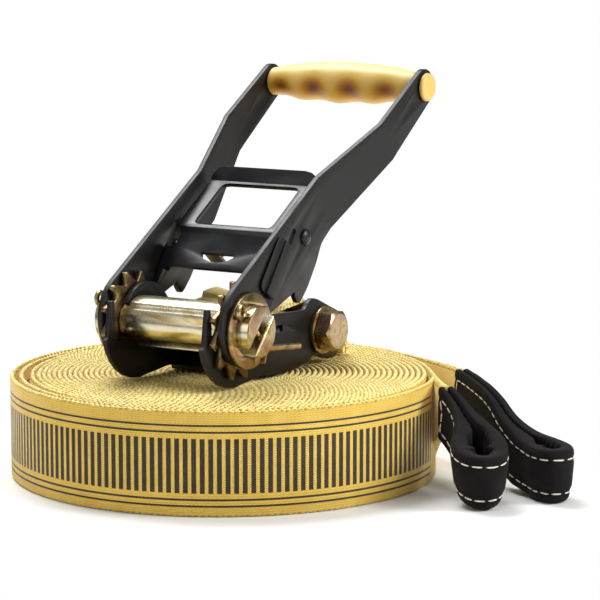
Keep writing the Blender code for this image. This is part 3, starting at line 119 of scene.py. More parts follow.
def add_node(tree, kind, settings=(), inputs=(), stops=(), out=0):
    """Adds a shader node with its settings, inputs and colour stops; gives the output that out names."""
    made = tree.nodes.new("ShaderNode" + kind)
    for key, value in dict(settings).items():
        setattr(made, key, value)
    set_inputs(made, inputs)
    if stops:
        bands = made.color_ramp.elements
        while len(bands) < len(stops):
            bands.new(0.5)
        for band, (place, colour) in zip(bands, stops):
            band.position, band.color = place, linear(colour)
    return made.outputs[out]


ADD, TAKE, TIMES, DIVIDE, SINE, FRACTION, ABOVE, BELOW, LARGER, SMALLER = (
    {"operation": name} for name in ("ADD", "SUBTRACT", "MULTIPLY", "DIVIDE", "SINE", "FRACT",
                                     "GREATER_THAN", "LESS_THAN", "MAXIMUM", "MINIMUM"))


def feed(shader, **values):
    """Sets or links a Principled shader's inputs, named here in small letters."""
    set_inputs(shader, {key.replace("_", " ").title().replace("Ior", "IOR"): value
                        for key, value in values.items()})


def start_finish(name, **values):
    """A material with plain values in its Principled shader, and a way to put nodes into it."""
    made = bpy.data.materials.new(name)
    made.use_nodes = True
    shader = made.node_tree.nodes["Principled BSDF"]
    feed(shader, **values)
    return made, partial(add_node, made.node_tree), shader


print("mid grey #808080 in linear light:", round(linear("#808080")[0], 3))

# %% [markdown]
# ## Studio
# The floor is white paper. A strong one high on the right draws the long highlights on the metal, and
# two weak ones, at the right front and on the left, open the shade. The world is brighter overhead,
# which gives rounded metal its gradients.

# %% Floor
FLOOR_HALF = 3.0
SHADOW_NEAR, SHADOW_FAR = 0.005, 0.065
FOOTPRINTS = [((0.0, 0.0, 0.0), 0.106), ((0.0023, -0.157, 0.0), 0.036)]   # middles and radii: roll, loops

paper, put, shader = start_finish("white_paper_floor", base_color=linear("#EFEFEE"), roughness=0.9)
where = put("NewGeometry", out="Position")
reach = 1.0
for middle, radius in FOOTPRINTS:
    apart = put("VectorMath", {"operation": "DISTANCE"}, (where, middle), out="Value")
    reach = put("Math", SMALLER, (reach, put("Math", TAKE, (apart, radius))))
fade = put("MapRange", {"interpolation_type": "SMOOTHSTEP"}, (reach, SHADOW_NEAR, SHADOW_FAR))
share = put("Math", TIMES, (fade, put("LightPath", out="Is Camera Ray")))
white = put("Emission", inputs=((1, 1, 1, 1), 1.0))
mixed = put("MixShader", inputs=(share, shader.outputs[0], white))
set_inputs(paper.node_tree.nodes["Material Output"], {"Surface": mixed})


def mesh_of(edit, name):
    """The mesh that was being edited, now kept under a name."""
    mesh = bpy.data.meshes.new(name)
    edit.to_mesh(mesh)
    edit.free()
    return mesh


edit = bmesh.new()
bmesh.ops.create_grid(edit, x_segments=1, y_segments=1, size=FLOOR_HALF)
floor = in_scene("floor", mesh_of(edit, "floor"))
floor.location = (0.04, -0.03, -0.0002)
floor.data.materials.append(paper)
print("floor of", 2 * FLOOR_HALF, "m, white from", SHADOW_FAR, "m off the kit")

# %% World and lights
DOME_LEVEL = 0.47
DOME_STOPS = [(0.0, "#888684"), (0.12, "#A3A19E"), (0.5, "#E2E1DF"), (1.0, "#FFFFFF")]
AIM = Vector((0.02, 0.0, 0.07))

world = bpy.data.worlds.new("studio")
scene.world = world
world.use_nodes = True
put = partial(add_node, world.node_tree)
height = put("SeparateXYZ", inputs={0: put("TexCoord", out="Generated")}, out="Z")
dome = put("ValToRGB", inputs={"Fac": height}, stops=DOME_STOPS)
from_camera, through = (put("LightPath", out=f"Is {kind} Ray") for kind in ("Camera", "Transmission"))
bare = put("Math", LARGER, (from_camera, through))
backdrop = put("Mix", {"data_type": "RGBA"}, {"Factor": bare, "A": dome, "B": (1, 1, 1, 1)}, out="Result")
level = put("MapRange", inputs=(bare, 0.0, 1.0, DOME_LEVEL, 1.0))
set_inputs(world.node_tree.nodes["Background"], {"Color": backdrop, "Strength": level})


def soft_light(name, rightwards, deeper, up, size, power):
    lamp = bpy.data.lights.new(name, "AREA")
    lamp.size = size
    lamp.energy = power
    made = in_scene(name, lamp)
    made.location = right * rightwards + away * deeper + Vector((0.0, 0.0, up))
    made.rotation_euler = (AIM - made.location).to_track_quat("-Z", "Y").to_euler()


soft_light("back_light", -0.28, 0.45, 1.15, size=0.7, power=18.0)
soft_light("side_light", 1.22, -0.28, 0.74, size=0.5, power=14.0)
soft_light("right_light", 0.85, -0.85, 0.62, size=0.5, power=1.8)
soft_light("fill_light", -1.1, -0.9, 0.6, size=0.8, power=3.0)
print("lights:", len(bpy.data.lights))

# %% [markdown]
# ## Black coated steel
# The side plates, covers and pawls are stamped from sheet steel and coated black. A dip or powder coat
# is satin: it follows the flat sheet and has a faint orange peel. A dielectric shader with a dark colour
# and a medium roughness gives the soft grey sheen of the flat faces; the pawls' coat is glossier.

# %% Black coated steel
PEEL = 0.9 * MM     # size of the coat's faint waviness
MARKS = 14.0 * MM   # size of handling marks


def coated_steel(name, colour, rubbed, roughness):
    """Satin black coat: rubbed is the tone of its handling marks."""
    made, put, shader = start_finish(name, ior=1.40)
    place = put("TexCoord", out="Object")
    marks = put("TexNoise", inputs={"Vector": place, "Scale": 1 / MARKS, "Detail": 5.0})
    spread = put("MapRange", inputs=(marks, 0.3, 0.7, roughness - 0.06, roughness + 0.08))
    tone = put("ValToRGB", inputs={"Fac": marks}, stops=[(0.35, colour), (0.75, rubbed)])
    peel = put("TexNoise", inputs={"Vector": place, "Scale": 1 / PEEL, "Detail": 2.0})
    bump = put("Bump", inputs={"Strength": 0.10, "Distance": 0.05 * MM, "Height": peel})
    feed(shader, roughness=spread, base_color=tone, normal=bump)
    return made


satin_black = coated_steel("black_coated_steel", "#0A0909", "#141211", 0.44)
pawl_black = coated_steel("black_coated_pawl_steel", "#0C0D11", "#15171D", 0.33)
print("coats:", satin_black.name, pawl_black.name)

# %% [markdown]
# ## Yellow zinc plate
# The mandrel, wheels, washers, pins and bolt are steel with yellow chromated zinc. The chromate film is
# thinner than light's wavelength in places, so the gold drifts to straw, olive and pink. The drift has no
# pattern, so a noise at the size of the plating's clouds runs through a ramp of those tones.

# %% Yellow zinc plate
CLOUDS = 9.0 * MM    # size of the film's tone changes
PICKLE = 0.35 * MM   # grain of the pickled steel under it
ZINC_STOPS = [(0.30, "#80693A"), (0.45, "#B3A477"), (0.56, "#A8826C"), (0.70, "#958F5E")]
BARREL_STOPS = [(0.34, "#B09A68"), (0.47, "#DDD6BC"), (0.58, "#D0C7A4"), (0.70, "#9E8A58")]
# Painted shade: the wheels' zinc is drawn darker than on the other plated parts, for the shade between the
# side plates.
WHEEL_STOPS = [(0.3, "#4E3E2C"), (0.5, "#85704E"), (0.7, "#6A5240")]


def chromated_zinc(name, stops, roughness, clouds=CLOUDS, drawn=1.0):
    """Yellow zinc; drawn stretches its clouds along the piece's own length, as on a turned bar."""
    made, put, shader = start_finish(name, metallic=1.0)
    place = put("TexCoord", out="Object")
    lengthened = put("VectorMath", TIMES, (place, (1.0, 1 / drawn, 1.0)))
    cloud = put("TexNoise", inputs={"Vector": lengthened, "Scale": 1 / clouds, "Detail": 3.0,
                                    "Distortion": 0.8})
    tone = put("ValToRGB", inputs={"Fac": cloud}, stops=stops)
    grain = put("TexNoise", inputs={"Vector": place, "Scale": 1 / PICKLE, "Detail": 3.0})
    spread = put("MapRange", inputs=(grain, 0.3, 0.7, roughness - 0.07, roughness + 0.10))
    bump = put("Bump", inputs={"Strength": 0.12, "Distance": 0.03 * MM, "Height": grain})
    feed(shader, base_color=tone, roughness=spread, normal=bump)
    return made


yellow_zinc = chromated_zinc("yellow_chromated_zinc", ZINC_STOPS, 0.27)
barrel_zinc = chromated_zinc("yellow_zinc_on_the_mandrel", BARREL_STOPS, 0.22, 10.0 * MM, 5.0)
wheel_zinc = chromated_zinc("yellow_zinc_with_painted_shade_on_wheels", WHEEL_STOPS, 0.30)
print("plating clouds of", round(CLOUDS / MM), "mm")

# %% [markdown]
# ## Woven webbing
# Slackline webbing is polyester, woven flat with fine ribs across its width, and printed on one face.
# Its length and height go into a UV map in metres, so the threads, the printed lines and the bars all
# take their real sizes. The print here is only rules and bars.

# %% Sizes of the weave and the print
THREAD = 1.1 * MM         # one rib of the weave, drawn as coarse as it needs to show
TWILL = 1.9 * MM          # two threads of the chevron along the length
DYE = 9.0 * MM            # size of the dye's unevenness
BAR_PITCH = 3.9 * MM      # printed bars
BAR_SHARE = 0.58
RULE_HEIGHTS = (5.0 * MM, 8.0 * MM, 39.6 * MM, 42.7 * MM)
RULE_HALF = 0.48 * MM
BAR_LOW, BAR_HIGH = 11.0 * MM, 36.6 * MM
print("printed bars every", round(BAR_PITCH / MM, 1), "mm, rules:", len(RULE_HEIGHTS))

# %% Woven webbing


def uv_axis(put, layer, axis):
    """One axis of a UV map."""
    return put("SeparateXYZ", inputs={0: put("UVMap", {"uv_map": layer})}, out=axis)


def within(put, value, low, high):
    """1 where a value lies between two limits."""
    return put("Math", TIMES, (put("Math", ABOVE, (value, low)), put("Math", BELOW, (value, high))))


def rules_and_bars(put, along, up):
    """1 where the print lies, on the face that the UV map "face" marks."""
    turn = put("Math", FRACTION, {0: put("Math", DIVIDE, (along, BAR_PITCH))})
    in_bar = put("Math", BELOW, (turn, BAR_SHARE))
    marks = put("Math", TIMES, (in_bar, within(put, up, BAR_LOW, BAR_HIGH)))
    for rule in RULE_HEIGHTS:
        marks = put("Math", LARGER, (marks, within(put, up, rule - RULE_HALF, rule + RULE_HALF)))
    return put("Math", TIMES, (marks, put("Math", ABOVE, (uv_axis(put, "face", "X"), 0.5))))


def woven(name, printed, stops):
    """Webbing with its weave; printed adds the rules and bars."""
    made, put, shader = start_finish(name, roughness=0.70, ior=1.5, sheen_weight=0.40, sheen_roughness=0.35)
    along, up = uv_axis(put, "webbing", "X"), uv_axis(put, "webbing", "Y")
    rib = put("Math", SINE, {0: put("Math", TIMES, (up, 2 * pi / THREAD))})
    warp = put("Math", SINE, {0: put("Math", TIMES, (along, 2 * pi / TWILL))})
    weave = put("Math", ADD, (put("Math", TIMES, (rib, warp)), put("Math", TIMES, (rib, 0.6))))
    dye = put("TexNoise", inputs={"Vector": put("TexCoord", out="Object"), "Scale": 1 / DYE, "Detail": 4.0})
    dye_tone = put("MapRange", inputs=(dye, 0.0, 1.0, 0.36, 0.64))
    shade = put("Math", ADD, (put("Math", TIMES, (weave, 0.13)), dye_tone))
    colour = put("ValToRGB", inputs={"Fac": shade}, stops=stops)
    if printed:
        ink = put("ValToRGB", inputs={"Fac": dye}, stops=[(0.3, "#241C17"), (0.7, "#332A22")])
        marks = rules_and_bars(put, along, up)
        colour = put("Mix", {"data_type": "RGBA"}, {"Factor": marks, "A": colour, "B": ink}, out="Result")
    bump = put("Bump", inputs={"Strength": 0.6, "Distance": 0.14 * MM, "Height": weave})
    feed(shader, base_color=colour, normal=bump)
    return made


printed_webbing = woven("printed_polyester_webbing", True,
                        [(0.28, "#C49C33"), (0.50, "#E2BC4C"), (0.75, "#F0D26E")])
plain_webbing = woven("plain_polyester_webbing", False,
                      [(0.28, "#CBA848"), (0.50, "#EBD176"), (0.75, "#F7E6A0")])
print("webbing:", printed_webbing.name, plain_webbing.name)

# %% [markdown]
# The narrow edge of webbing is a selvedge: the weft turns round the last warp threads and leaves a row
# of small knuckles. Seen from above, those rows side by side make the roll's top look like pale wicker.
# Its finish follows the band's own UV map, so every turn is a row of beads along its way. Its colour
# follows the beads' height, which is painted shade in the pits and down the rim's sides and a painted
# highlight on the beads' tops.

# %% Selvedge
KNUCKLE = 3.0 * MM        # from one crossing of the weft to the next, as they show along the rim
LINT = 1.3 * MM           # unevenness of the yarn
SLANT = 1.6               # how far a knuckle leans across the edge


def selvedge(name):
    """A row of weft knuckles; the UV's Y runs from -1 to 1 across the edge."""
    made, put, shader = start_finish(name, roughness=0.74, ior=1.5, sheen_weight=0.12, sheen_roughness=0.5)
    along, across = uv_axis(put, "webbing", "X"), uv_axis(put, "webbing", "Y")
    turn = put("Math", TIMES, (along, 2 * pi / KNUCKLE))
    turn = put("Math", ADD, (turn, put("Math", TIMES, (across, SLANT))))
    lint = put("TexNoise", inputs={"Vector": put("TexCoord", out="Object"), "Scale": 1 / LINT, "Detail": 3.0})
    turn = put("Math", ADD, (turn, put("MapRange", inputs=(lint, 0.3, 0.7, -2.0, 2.0))))
    bead = put("MapRange", inputs=(put("Math", SINE, {0: turn}), -1.0, 1.0, 0.15, 1.0))
    rounding = put("Math", TAKE, (1.15, put("Math", TIMES, (across, across))))
    uneven = put("MapRange", inputs=(lint, 0.3, 0.7, -0.14, 0.14))
    height = put("Math", ADD, (put("Math", TIMES, (bead, rounding)), uneven))
    # Painted shade and highlight: the colour follows the bump's height, darker in the pits and down the rim's
    # sides, paler on the tops.
    colour = put("ValToRGB", inputs={"Fac": height},
                 stops=[(0.06, "#A27C2A"), (0.28, "#DCBE5E"), (0.55, "#EED87A"), (1.0, "#F9ECA8")])
    bump = put("Bump", inputs={"Strength": 0.85, "Distance": 0.40 * MM, "Height": height})
    feed(shader, base_color=colour, normal=bump)
    return made


knuckled_edge = selvedge("webbing_selvedge")
print("knuckles every", round(KNUCKLE / MM, 1), "mm")

# %% [markdown]
# ## Padded sleeve cloth and thread
# The loops wear black sleeves of coarse polyamide cloth over foam. The cloth is dull, with a slight warm
# sheen where it curves away. The stitches are thick cream polyester thread.

# %% Sleeve cloth and thread
YARN = 0.9 * MM    # drawn as coarse as it needs to show
DUST, CREASE = 11.0 * MM, 5.0 * MM
PLY = 0.5 * MM

sleeve_cloth, put, shader = start_finish("black_polyamide_cloth", roughness=0.95, ior=1.35, sheen_weight=0.06,
                                         sheen_roughness=0.4, sheen_tint=linear("#6A5A55"))
place = put("TexCoord", out="Object")
yarns = put("TexVoronoi", {"distance": "CHEBYCHEV"},
            {"Vector": place, "Scale": 1 / YARN, "Randomness": 0.35}, out="Distance")
dust = put("TexNoise", inputs={"Vector": place, "Scale": 1 / DUST, "Detail": 5.0})
dark = put("ValToRGB", inputs={"Fac": dust}, stops=[(0.35, "#090707"), (0.7, "#110D0E")])
bump = put("Bump", inputs={"Strength": 0.7, "Distance": 0.25 * MM, "Height": yarns})
crease = put("TexNoise", inputs={"Vector": place, "Scale": 1 / CREASE, "Detail": 2.0})
fold = put("Bump", inputs={"Strength": 0.5, "Distance": 0.8 * MM, "Height": crease, "Normal": bump})
feed(shader, base_color=dark, normal=fold)

thread, put, shader = start_finish("cream_polyester_thread", roughness=0.6, ior=1.5, sheen_weight=0.2)
place = put("TexCoord", out="Object")
plies = put("TexWave", {"bands_direction": "DIAGONAL"}, {"Vector": place, "Scale": 1 / (6 * PLY)})
twisted = put("ValToRGB", inputs={"Fac": plies}, stops=[(0.2, "#CFC5B2"), (0.8, "#EEE7DA")])
bump = put("Bump", inputs={"Strength": 0.5, "Distance": 0.1 * MM, "Height": plies})
feed(shader, base_color=twisted, normal=bump)
print("cloth and thread:", sleeve_cloth.name, thread.name)

# %% [markdown]
# ## Moulded grip
# The grip and its caps are polypropylene, moulded in warm yellow. The plastic lets a little light in, but
# its colour is drawn deeper on the underside and in the finger troughs, which is painted shade. Fine
# spark texture from the mould keeps its highlights broad.

# %% Moulded plastic
SPARK = 0.4 * MM
moulded, put, shader = start_finish("moulded_yellow_polypropylene", roughness=0.46, ior=1.49,
                                    subsurface_weight=0.05, subsurface_scale=2.0 * MM,
                                    subsurface_radius=(1.0, 0.45, 0.12))
# painted shade: this attribute darkens the grip's underside and its finger troughs
depth = put("Attribute", {"attribute_name": "hollow"}, out="Fac")
tone = put("ValToRGB", inputs={"Fac": depth},
           stops=[(0.0, "#DCC078"), (0.30, "#D9AE48"), (0.62, "#B87C18"), (1.0, "#75410A")])
spark = put("TexNoise", inputs={"Vector": put("TexCoord", out="Object"), "Scale": 1 / SPARK, "Detail": 2.0})
bump = put("Bump", inputs={"Strength": 0.15, "Distance": 0.04 * MM, "Height": spark})
feed(shader, base_color=tone, normal=bump)
print("materials:", len(bpy.data.materials))

# %% [markdown]
# ## Finishing the hard pieces
# Stamped and sawn steel is deburred, so no edge is quite sharp, and that thin line of light round every
# outline is what makes a plate look like steel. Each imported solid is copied, its flat faces are merged,
# and its corners are rounded by a Bevel that acts only on edges sharper than 32 degrees.

# %% Helpers for pieces
MERGE = 0.001 * MM               # points nearer than this become one
FLAT_UNDER = radians(0.6)        # faces that meet at less than this are one flat face
BEVEL_OVER = radians(32)


def finish_shape(made, smooth_angle=35.0):
    """Smooth shading that keeps the sharp corners."""
    made.data.shade_smooth()
    made.data.set_sharp_from_angle(angle=radians(smooth_angle))


def settle(made, body, finishes, slot_name, stands_for=()):
    """Gives a new piece its finishes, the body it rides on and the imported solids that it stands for."""
    for finish in finishes:
        made.data.materials.append(finish)
    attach(made, body)
    if stands_for:
        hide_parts(*stands_for)
    return made


def applied(made):
    """Applies the modifiers of a piece to its mesh."""
    graph = bpy.context.evaluated_depsgraph_get()
    mesh = bpy.data.meshes.new_from_object(made.evaluated_get(graph))
    old = made.data
    made.modifiers.clear()
    made.data = mesh
    bpy.data.meshes.remove(old)
    mesh.name = made.name


def dressed(name, mesh, smooth_angle, *settled):
    """A new piece with its smoothing; the rest goes to settle."""
    made = in_scene(name, mesh)
    finish_shape(made, smooth_angle)
    return settle(made, *settled)


def rounded_copy(node, width):
    """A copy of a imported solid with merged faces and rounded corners."""
    edit = bmesh.new()
    edit.from_mesh(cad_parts[node].data)
    bmesh.ops.remove_doubles(edit, verts=edit.verts, dist=MERGE)
    bmesh.ops.dissolve_limit(edit, angle_limit=FLAT_UNDER, verts=edit.verts, edges=edit.edges)
    made = in_scene(node + "_finished", mesh_of(edit, node + "_finished"))
    bevel = made.modifiers.new("Bevel", "BEVEL")
    bevel.width = width
    bevel.segments = 2
    bevel.limit_method = "ANGLE"
    bevel.angle_limit = BEVEL_OVER
    bevel.use_clamp_overlap = True
    applied(made)
    finish_shape(made)
    return made


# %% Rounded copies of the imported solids
BASE, LEVER, MANDREL = "base", "lever", "mandrel"
STEEL, ZINC = "black_steel", "zinc_steel"
PLATE_EDGE = 0.45 * MM
hard_pieces = [
    (BASE, satin_black, STEEL, PLATE_EDGE, ["base_plate_near", "base_plate_far", "base_crossplate"]),
    (LEVER, satin_black, STEEL, PLATE_EDGE, ["handle_plate_near", "handle_plate_far"]),
    (LEVER, satin_black, STEEL, 0.6 * MM, ["slot_cover_near", "slot_cover_far"]),
    (LEVER, pawl_black, STEEL, 0.25 * MM, ["handle_tie", "upper_rivet_near", "upper_rivet_far",
                                           "lower_rivet_near", "lower_rivet_far"]),
    ("driving_pawl", pawl_black, STEEL, PLATE_EDGE, ["drive_pawl"]),
    ("locking_pawl", pawl_black, STEEL, 0.35 * MM, ["base_pawl"]),
    (MANDREL, barrel_zinc, ZINC, 0.6 * MM, ["mandrel_half_upper", "mandrel_half_lower"]),
    (MANDREL, wheel_zinc, ZINC, 0.35 * MM, ["ratchet_wheel_near", "ratchet_wheel_far"]),
    (MANDREL, yellow_zinc, ZINC, 0.4 * MM, ["washer_near", "washer_far"]),
    (MANDREL, yellow_zinc, ZINC, 0.25 * MM, ["split_pin_near", "split_pin_far"]),
    (BASE, yellow_zinc, ZINC, 0.3 * MM, ["bolt_washer_near", "bolt_washer_far", "bolt_nut", "bolt_sleeve"]),
    (LEVER, yellow_zinc, ZINC, 0.3 * MM, ["grip_rod"]),
]
finished = {}
for body, finish, slot_name, edge, nodes in hard_pieces:
    for node in nodes:
        finished[node] = settle(rounded_copy(node, edge), body, [finish], slot_name, [node])
SHAFT_ENDS = 33.0 * MM    # beyond this the mandrel's ends show the deeper gold of the washers
for node in ("mandrel_half_upper", "mandrel_half_lower"):
    finished[node].data.materials.append(yellow_zinc)
    for polygon in finished[node].data.polygons:
        polygon.material_index = int(abs(polygon.center.y) > SHAFT_ENDS)
print("finished hard pieces:", len(finished))

# %% [markdown]
# ## Anchor bolt
# A hexagon bolt's head is turned on its face, which cuts the six corners back along a cone and leaves a
# round face. A ring-by-ring skin shows that: at each angle the wall stands at the hexagon's own radius,
# and the cone gives its height there.

# %% Skins over rings of points
AXIS = Vector((-39.7, -3.7, 78.6)) * MM     # the mandrel's axis, which the ratchet is measured from


def add_rings(edit, rings, closed_round=True, close_path=False, caps=True):
    """Adds a surface over rings of points."""
    rows = [[edit.verts.new(p) for p in ring] for ring in rings]
    count = len(rows[0])
    pairs = list(zip(rows, rows[1:])) + ([(rows[-1], rows[0])] if close_path else [])
    for a, b in pairs:
        for i in range(count if closed_round else count - 1):
            k = (i + 1) % count
            edit.faces.new((a[i], a[k], b[k], b[i]))
    if caps and not close_path:
        edit.faces.new(reversed(rows[0]))
        edit.faces.new(rows[-1])


def skin(rings, **ways):
    """A mesh over rings of points; ways are those of add_rings."""
    edit = bmesh.new()
    add_rings(edit, rings, **ways)
    bmesh.ops.recalc_face_normals(edit, faces=edit.faces)
    return mesh_of(edit, "skin")


def angles_round(count):
    """So many angles, evenly round a circle."""
    return [2 * pi * k / count for k in range(count)]


def round_ring(places):
    """A ring about Y from its points' (distance along Y, radius) pairs."""
    return [(r * sin(a), along, r * cos(a)) for a, (along, r) in zip(angles_round(len(places)), places)]


print("mandrel's axis at", [round(c / MM, 1) for c in AXIS], "mm")

# %% Anchor bolt
BOLT_PLACE = AXIS + Vector((80.0, 0.0, -11.0)) * MM
HEX_FLATS, HEAD_FACE_Y, HEAD_HEIGHT = 19.0 * MM, 39.45 * MM, 7.9 * MM
FACE_RADIUS = HEX_FLATS / 2 * 0.93       # of the turned round face
CONE_FALL = 0.58                         # how fast the cone drops towards the corners
CORNER_LIMIT = HEX_FLATS / 2 * 1.145     # softened corners
HEAD_SIDES = 96
BOLT_RADIUS, BOLT_END_Y, THREAD_START_Y = 6.0 * MM, 43.05 * MM, 31.0 * MM
THREAD_PITCH, THREAD_DEPTH, END_CHAMFER = 1.75 * MM, 0.55 * MM, 0.6 * MM


def hex_radius(angle):
    """Radius of the head's hexagon."""
    part = (angle + pi / 6) % (pi / 3) - pi / 6
    return min(HEX_FLATS / 2 / cos(part), CORNER_LIMIT)


walls = [hex_radius(a) for a in angles_round(HEAD_SIDES)]
rings = [round_ring([(-HEAD_FACE_Y, FACE_RADIUS * share)] * HEAD_SIDES) for share in (0.5, 1.0)]
for share in (0.5, 1.0):
    rings.append(round_ring([(-HEAD_FACE_Y + (w - FACE_RADIUS) * share * CONE_FALL,
                              FACE_RADIUS + (w - FACE_RADIUS) * share) for w in walls]))
for depth, inset in ((HEAD_HEIGHT * 0.6, 0.0), (HEAD_HEIGHT - 0.3 * MM, 0.0), (HEAD_HEIGHT, 0.4 * MM)):
    rings.append(round_ring([(-HEAD_FACE_Y + depth, w - inset) for w in walls]))
shank = [(-HEAD_FACE_Y + HEAD_HEIGHT, BOLT_RADIUS), (THREAD_START_Y, BOLT_RADIUS)]
start = THREAD_START_Y
while start + THREAD_PITCH < BOLT_END_Y - END_CHAMFER:
    shank += [(start + THREAD_PITCH * 0.5, BOLT_RADIUS - THREAD_DEPTH), (start + THREAD_PITCH, BOLT_RADIUS)]
    start += THREAD_PITCH
shank += [(BOLT_END_Y - END_CHAMFER, BOLT_RADIUS), (BOLT_END_Y, BOLT_RADIUS - END_CHAMFER)]
mesh = skin(rings + [round_ring([pair] * HEAD_SIDES) for pair in shank])
mesh.transform(Matrix.Translation(BOLT_PLACE))
bolt = dressed("anchor_bolt", mesh, 30.0, BASE, [yellow_zinc], ZINC, ["webbing_bolt"])
print("bolt faces:", len(bolt.data.polygons))

# %% [markdown]
# ## Springs
# Both pawls are pushed by small compression springs of round wire. A swept circle along a helix keeps
# the wire round at every turn; nearly half a curl at each end lies flat, as a closed end does.

# %% Springs
WIRE = 0.42 * MM             # the wire's radius
SPRING_RADIUS = 2.5 * MM
WIRE_SIDES, CURL_STEPS = 10, 20
FLAT_CURL = 0.4              # share of a curl that lies flat at each end


def share_of(value, full):
    """A value as a share of full, kept between 0 and 1."""
    return min(1.0, max(0.0, value / full))


def spring_mesh(length, curls):
    """A spring of round wire along X."""
    rings = []
    for k in range(curls * CURL_STEPS + 1):
        curl = k / CURL_STEPS
        a = 2 * pi * curl
        risen = share_of(curl - FLAT_CURL, curls - 2 * FLAT_CURL)
        outwards = Vector((0.0, cos(a), sin(a)))
        centre = outwards * (SPRING_RADIUS - WIRE) + Vector((WIRE + (length - 2 * WIRE) * risen, 0.0, 0.0))
        rings.append([centre + outwards * WIRE * cos(b) + Vector((WIRE * sin(b), 0.0, 0.0))
                      for b in angles_round(WIRE_SIDES)])
    return skin(rings)


def spring_piece(name, node, start, along, length, curls):
    """A spring of round wire from start along a way, with its length and number of curls."""
    made = in_scene(name, spring_mesh(length, curls))
    turn = Vector((1.0, 0.0, 0.0)).rotation_difference(along).to_matrix().to_4x4()
    made.data.transform(Matrix.Translation(start) @ turn)
    finish_shape(made, 60.0)
    made.data.materials.append(yellow_zinc)
    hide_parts(node)
    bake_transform(made)


PAWL_WAY = Vector((0.6225, 0.0, 0.7826)).normalized()    # the way the driving pawl slides
low, high = (Vector(c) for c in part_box("drive_pawl_spring"))
slope = PAWL_WAY.x + PAWL_WAY.z
length = ((high - low).x + (high - low).z - 2 * SPRING_RADIUS * slope) / slope
spring_piece("driving_pawl_spring", "drive_pawl_spring", (low + high) / 2 - PAWL_WAY * length / 2, PAWL_WAY,
             length, 7)
low, high = (Vector(c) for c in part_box("base_pawl_spring"))
start = (low + high) / 2
start.x = low.x
spring_piece("locking_pawl_spring", "base_pawl_spring", start, Vector((1.0, 0.0, 0.0)), high.x - low.x, 6)
print("springs made")

# %% [markdown]
# ## The wound line
# The roll is one band, wound from a small core outwards. A spiral is the natural path: the radius grows
# by one thickness and a little air at every turn. The last turns were wound loosely on the left, so
# their gap opens there. Each station of the path carries the band's cross-section, with a soft selvedge.

# %% Sizes of the wound line and the strap's turn
LOOP_FRAME = Matrix.Rotation(VIEW_TURN, 4, "Z")
BAND = 2.55 * MM            # drawn thickness of the webbing
BAND_WIDTH = 50.0 * MM
STATION = KNUCKLE / 2       # so that every second station is the top of a knuckle
KNUCKLE_RISE = 0.28 * MM
ROLL_REACH = 103.9 * MM
ROLL_PITCH = 2.85 * MM
ROLL_CORE = 8.0 * MM
WRAP_RADIUS = 105.7 * MM    # centre of the anchor strap's turn round the roll
LOOSE = 5.2 * MM            # how far the loose turns stand off on the left
LOOSE_TURNS = 1.7
WRAP_SLACK = 1.7 * MM       # how far the anchor strap's turn lies in from its circle on the left
LOOSE_SIDE = radians(186)   # the roll's left
WRAP_GAP, WRAP_EASE = radians(15), radians(20)   # the turn's free end, and where it settles on its circle
PLAIN_END = 16.0 * MM       # unprinted part of the anchor strap's turn
ROUGH_RIM = 0.22 * MM       # the wound line's edges stand at slightly different heights
print("the wound line is", round(2 * ROLL_REACH / MM, 1), "mm across")

# %% Routes of the two loops
# mm to the camera's right, mm away from it, height of the top edge, and thickness of the leg
LINE_LOOP_ROUTE = [
    (106.2, -44.6, 49.6, 4.1), (109.4, -50.4, 46.0, 4.2), (112.6, -57.0, 41.5, 5.2),
    (114.2, -64.0, 37.0, 7.0), (113.8, -71.0, 33.5, 8.8), (112.8, -78.0, 31.0, 9.6),
    (113.4, -85.0, 28.8, 9.8), (116.6, -91.2, 27.0, 9.8), (121.8, -94.4, 26.2, 9.8),
    (127.4, -93.2, 26.4, 9.8), (131.0, -87.6, 27.6, 9.8), (131.4, -79.8, 30.6, 9.6),
    (129.4, -72.2, 33.4, 8.6), (125.2, -65.0, 37.0, 6.6), (119.8, -57.6, 41.5, 4.8),
    (115.2, -50.2, 46.0, 4.2), (110.8, -43.6, 49.6, 4.1),
]
STRAP_LOOP_ROUTE = [
    (116.8, 2.3, 50.0, 4.1), (121.6, -11.0, 48.5, 4.1), (127.2, -26.0, 46.0, 4.1),
    (131.4, -36.0, 42.0, 4.4), (136.2, -46.0, 35.0, 5.8), (142.0, -55.6, 29.5, 7.6),
    (146.8, -65.2, 27.0, 8.2), (151.0, -74.2, 26.2, 8.2), (156.6, -79.6, 26.2, 8.3),
    (163.2, -75.2, 26.2, 8.2), (163.7, -66.6, 26.4, 8.2), (159.2, -57.6, 27.0, 8.0),
    (150.6, -50.4, 29.5, 6.4), (142.4, -42.6, 35.0, 4.8), (136.4, -34.2, 42.0, 4.2),
    (131.8, -24.4, 46.0, 4.1), (126.2, -9.4, 48.5, 4.1), (121.3, 3.8, 50.0, 4.1),
]
print("points on the loops' routes:", len(LINE_LOOP_ROUTE), len(STRAP_LOOP_ROUTE))

# %% Where the bands leave the roll


def loop_start(route):
    """The middle of a loop's two legs where they meet the webbing, and the way the loop sets out."""
    first, last = Vector(route[0][:2]) * MM, Vector(route[-1][:2]) * MM
    side = (last - first).normalized()
    return (first + last) / 2, Vector((side.y, -side.x))


def tangent_leave(radius, target):
    """Angle at which a band that runs clockwise leaves a circle to pass through the target."""
    return atan2(target[1], target[0]) + acos(radius / hypot(*target))


def around(angle, radius):
    """A point at an angle and distance from the roll's middle."""
    return Vector((radius * cos(angle), radius * sin(angle)))


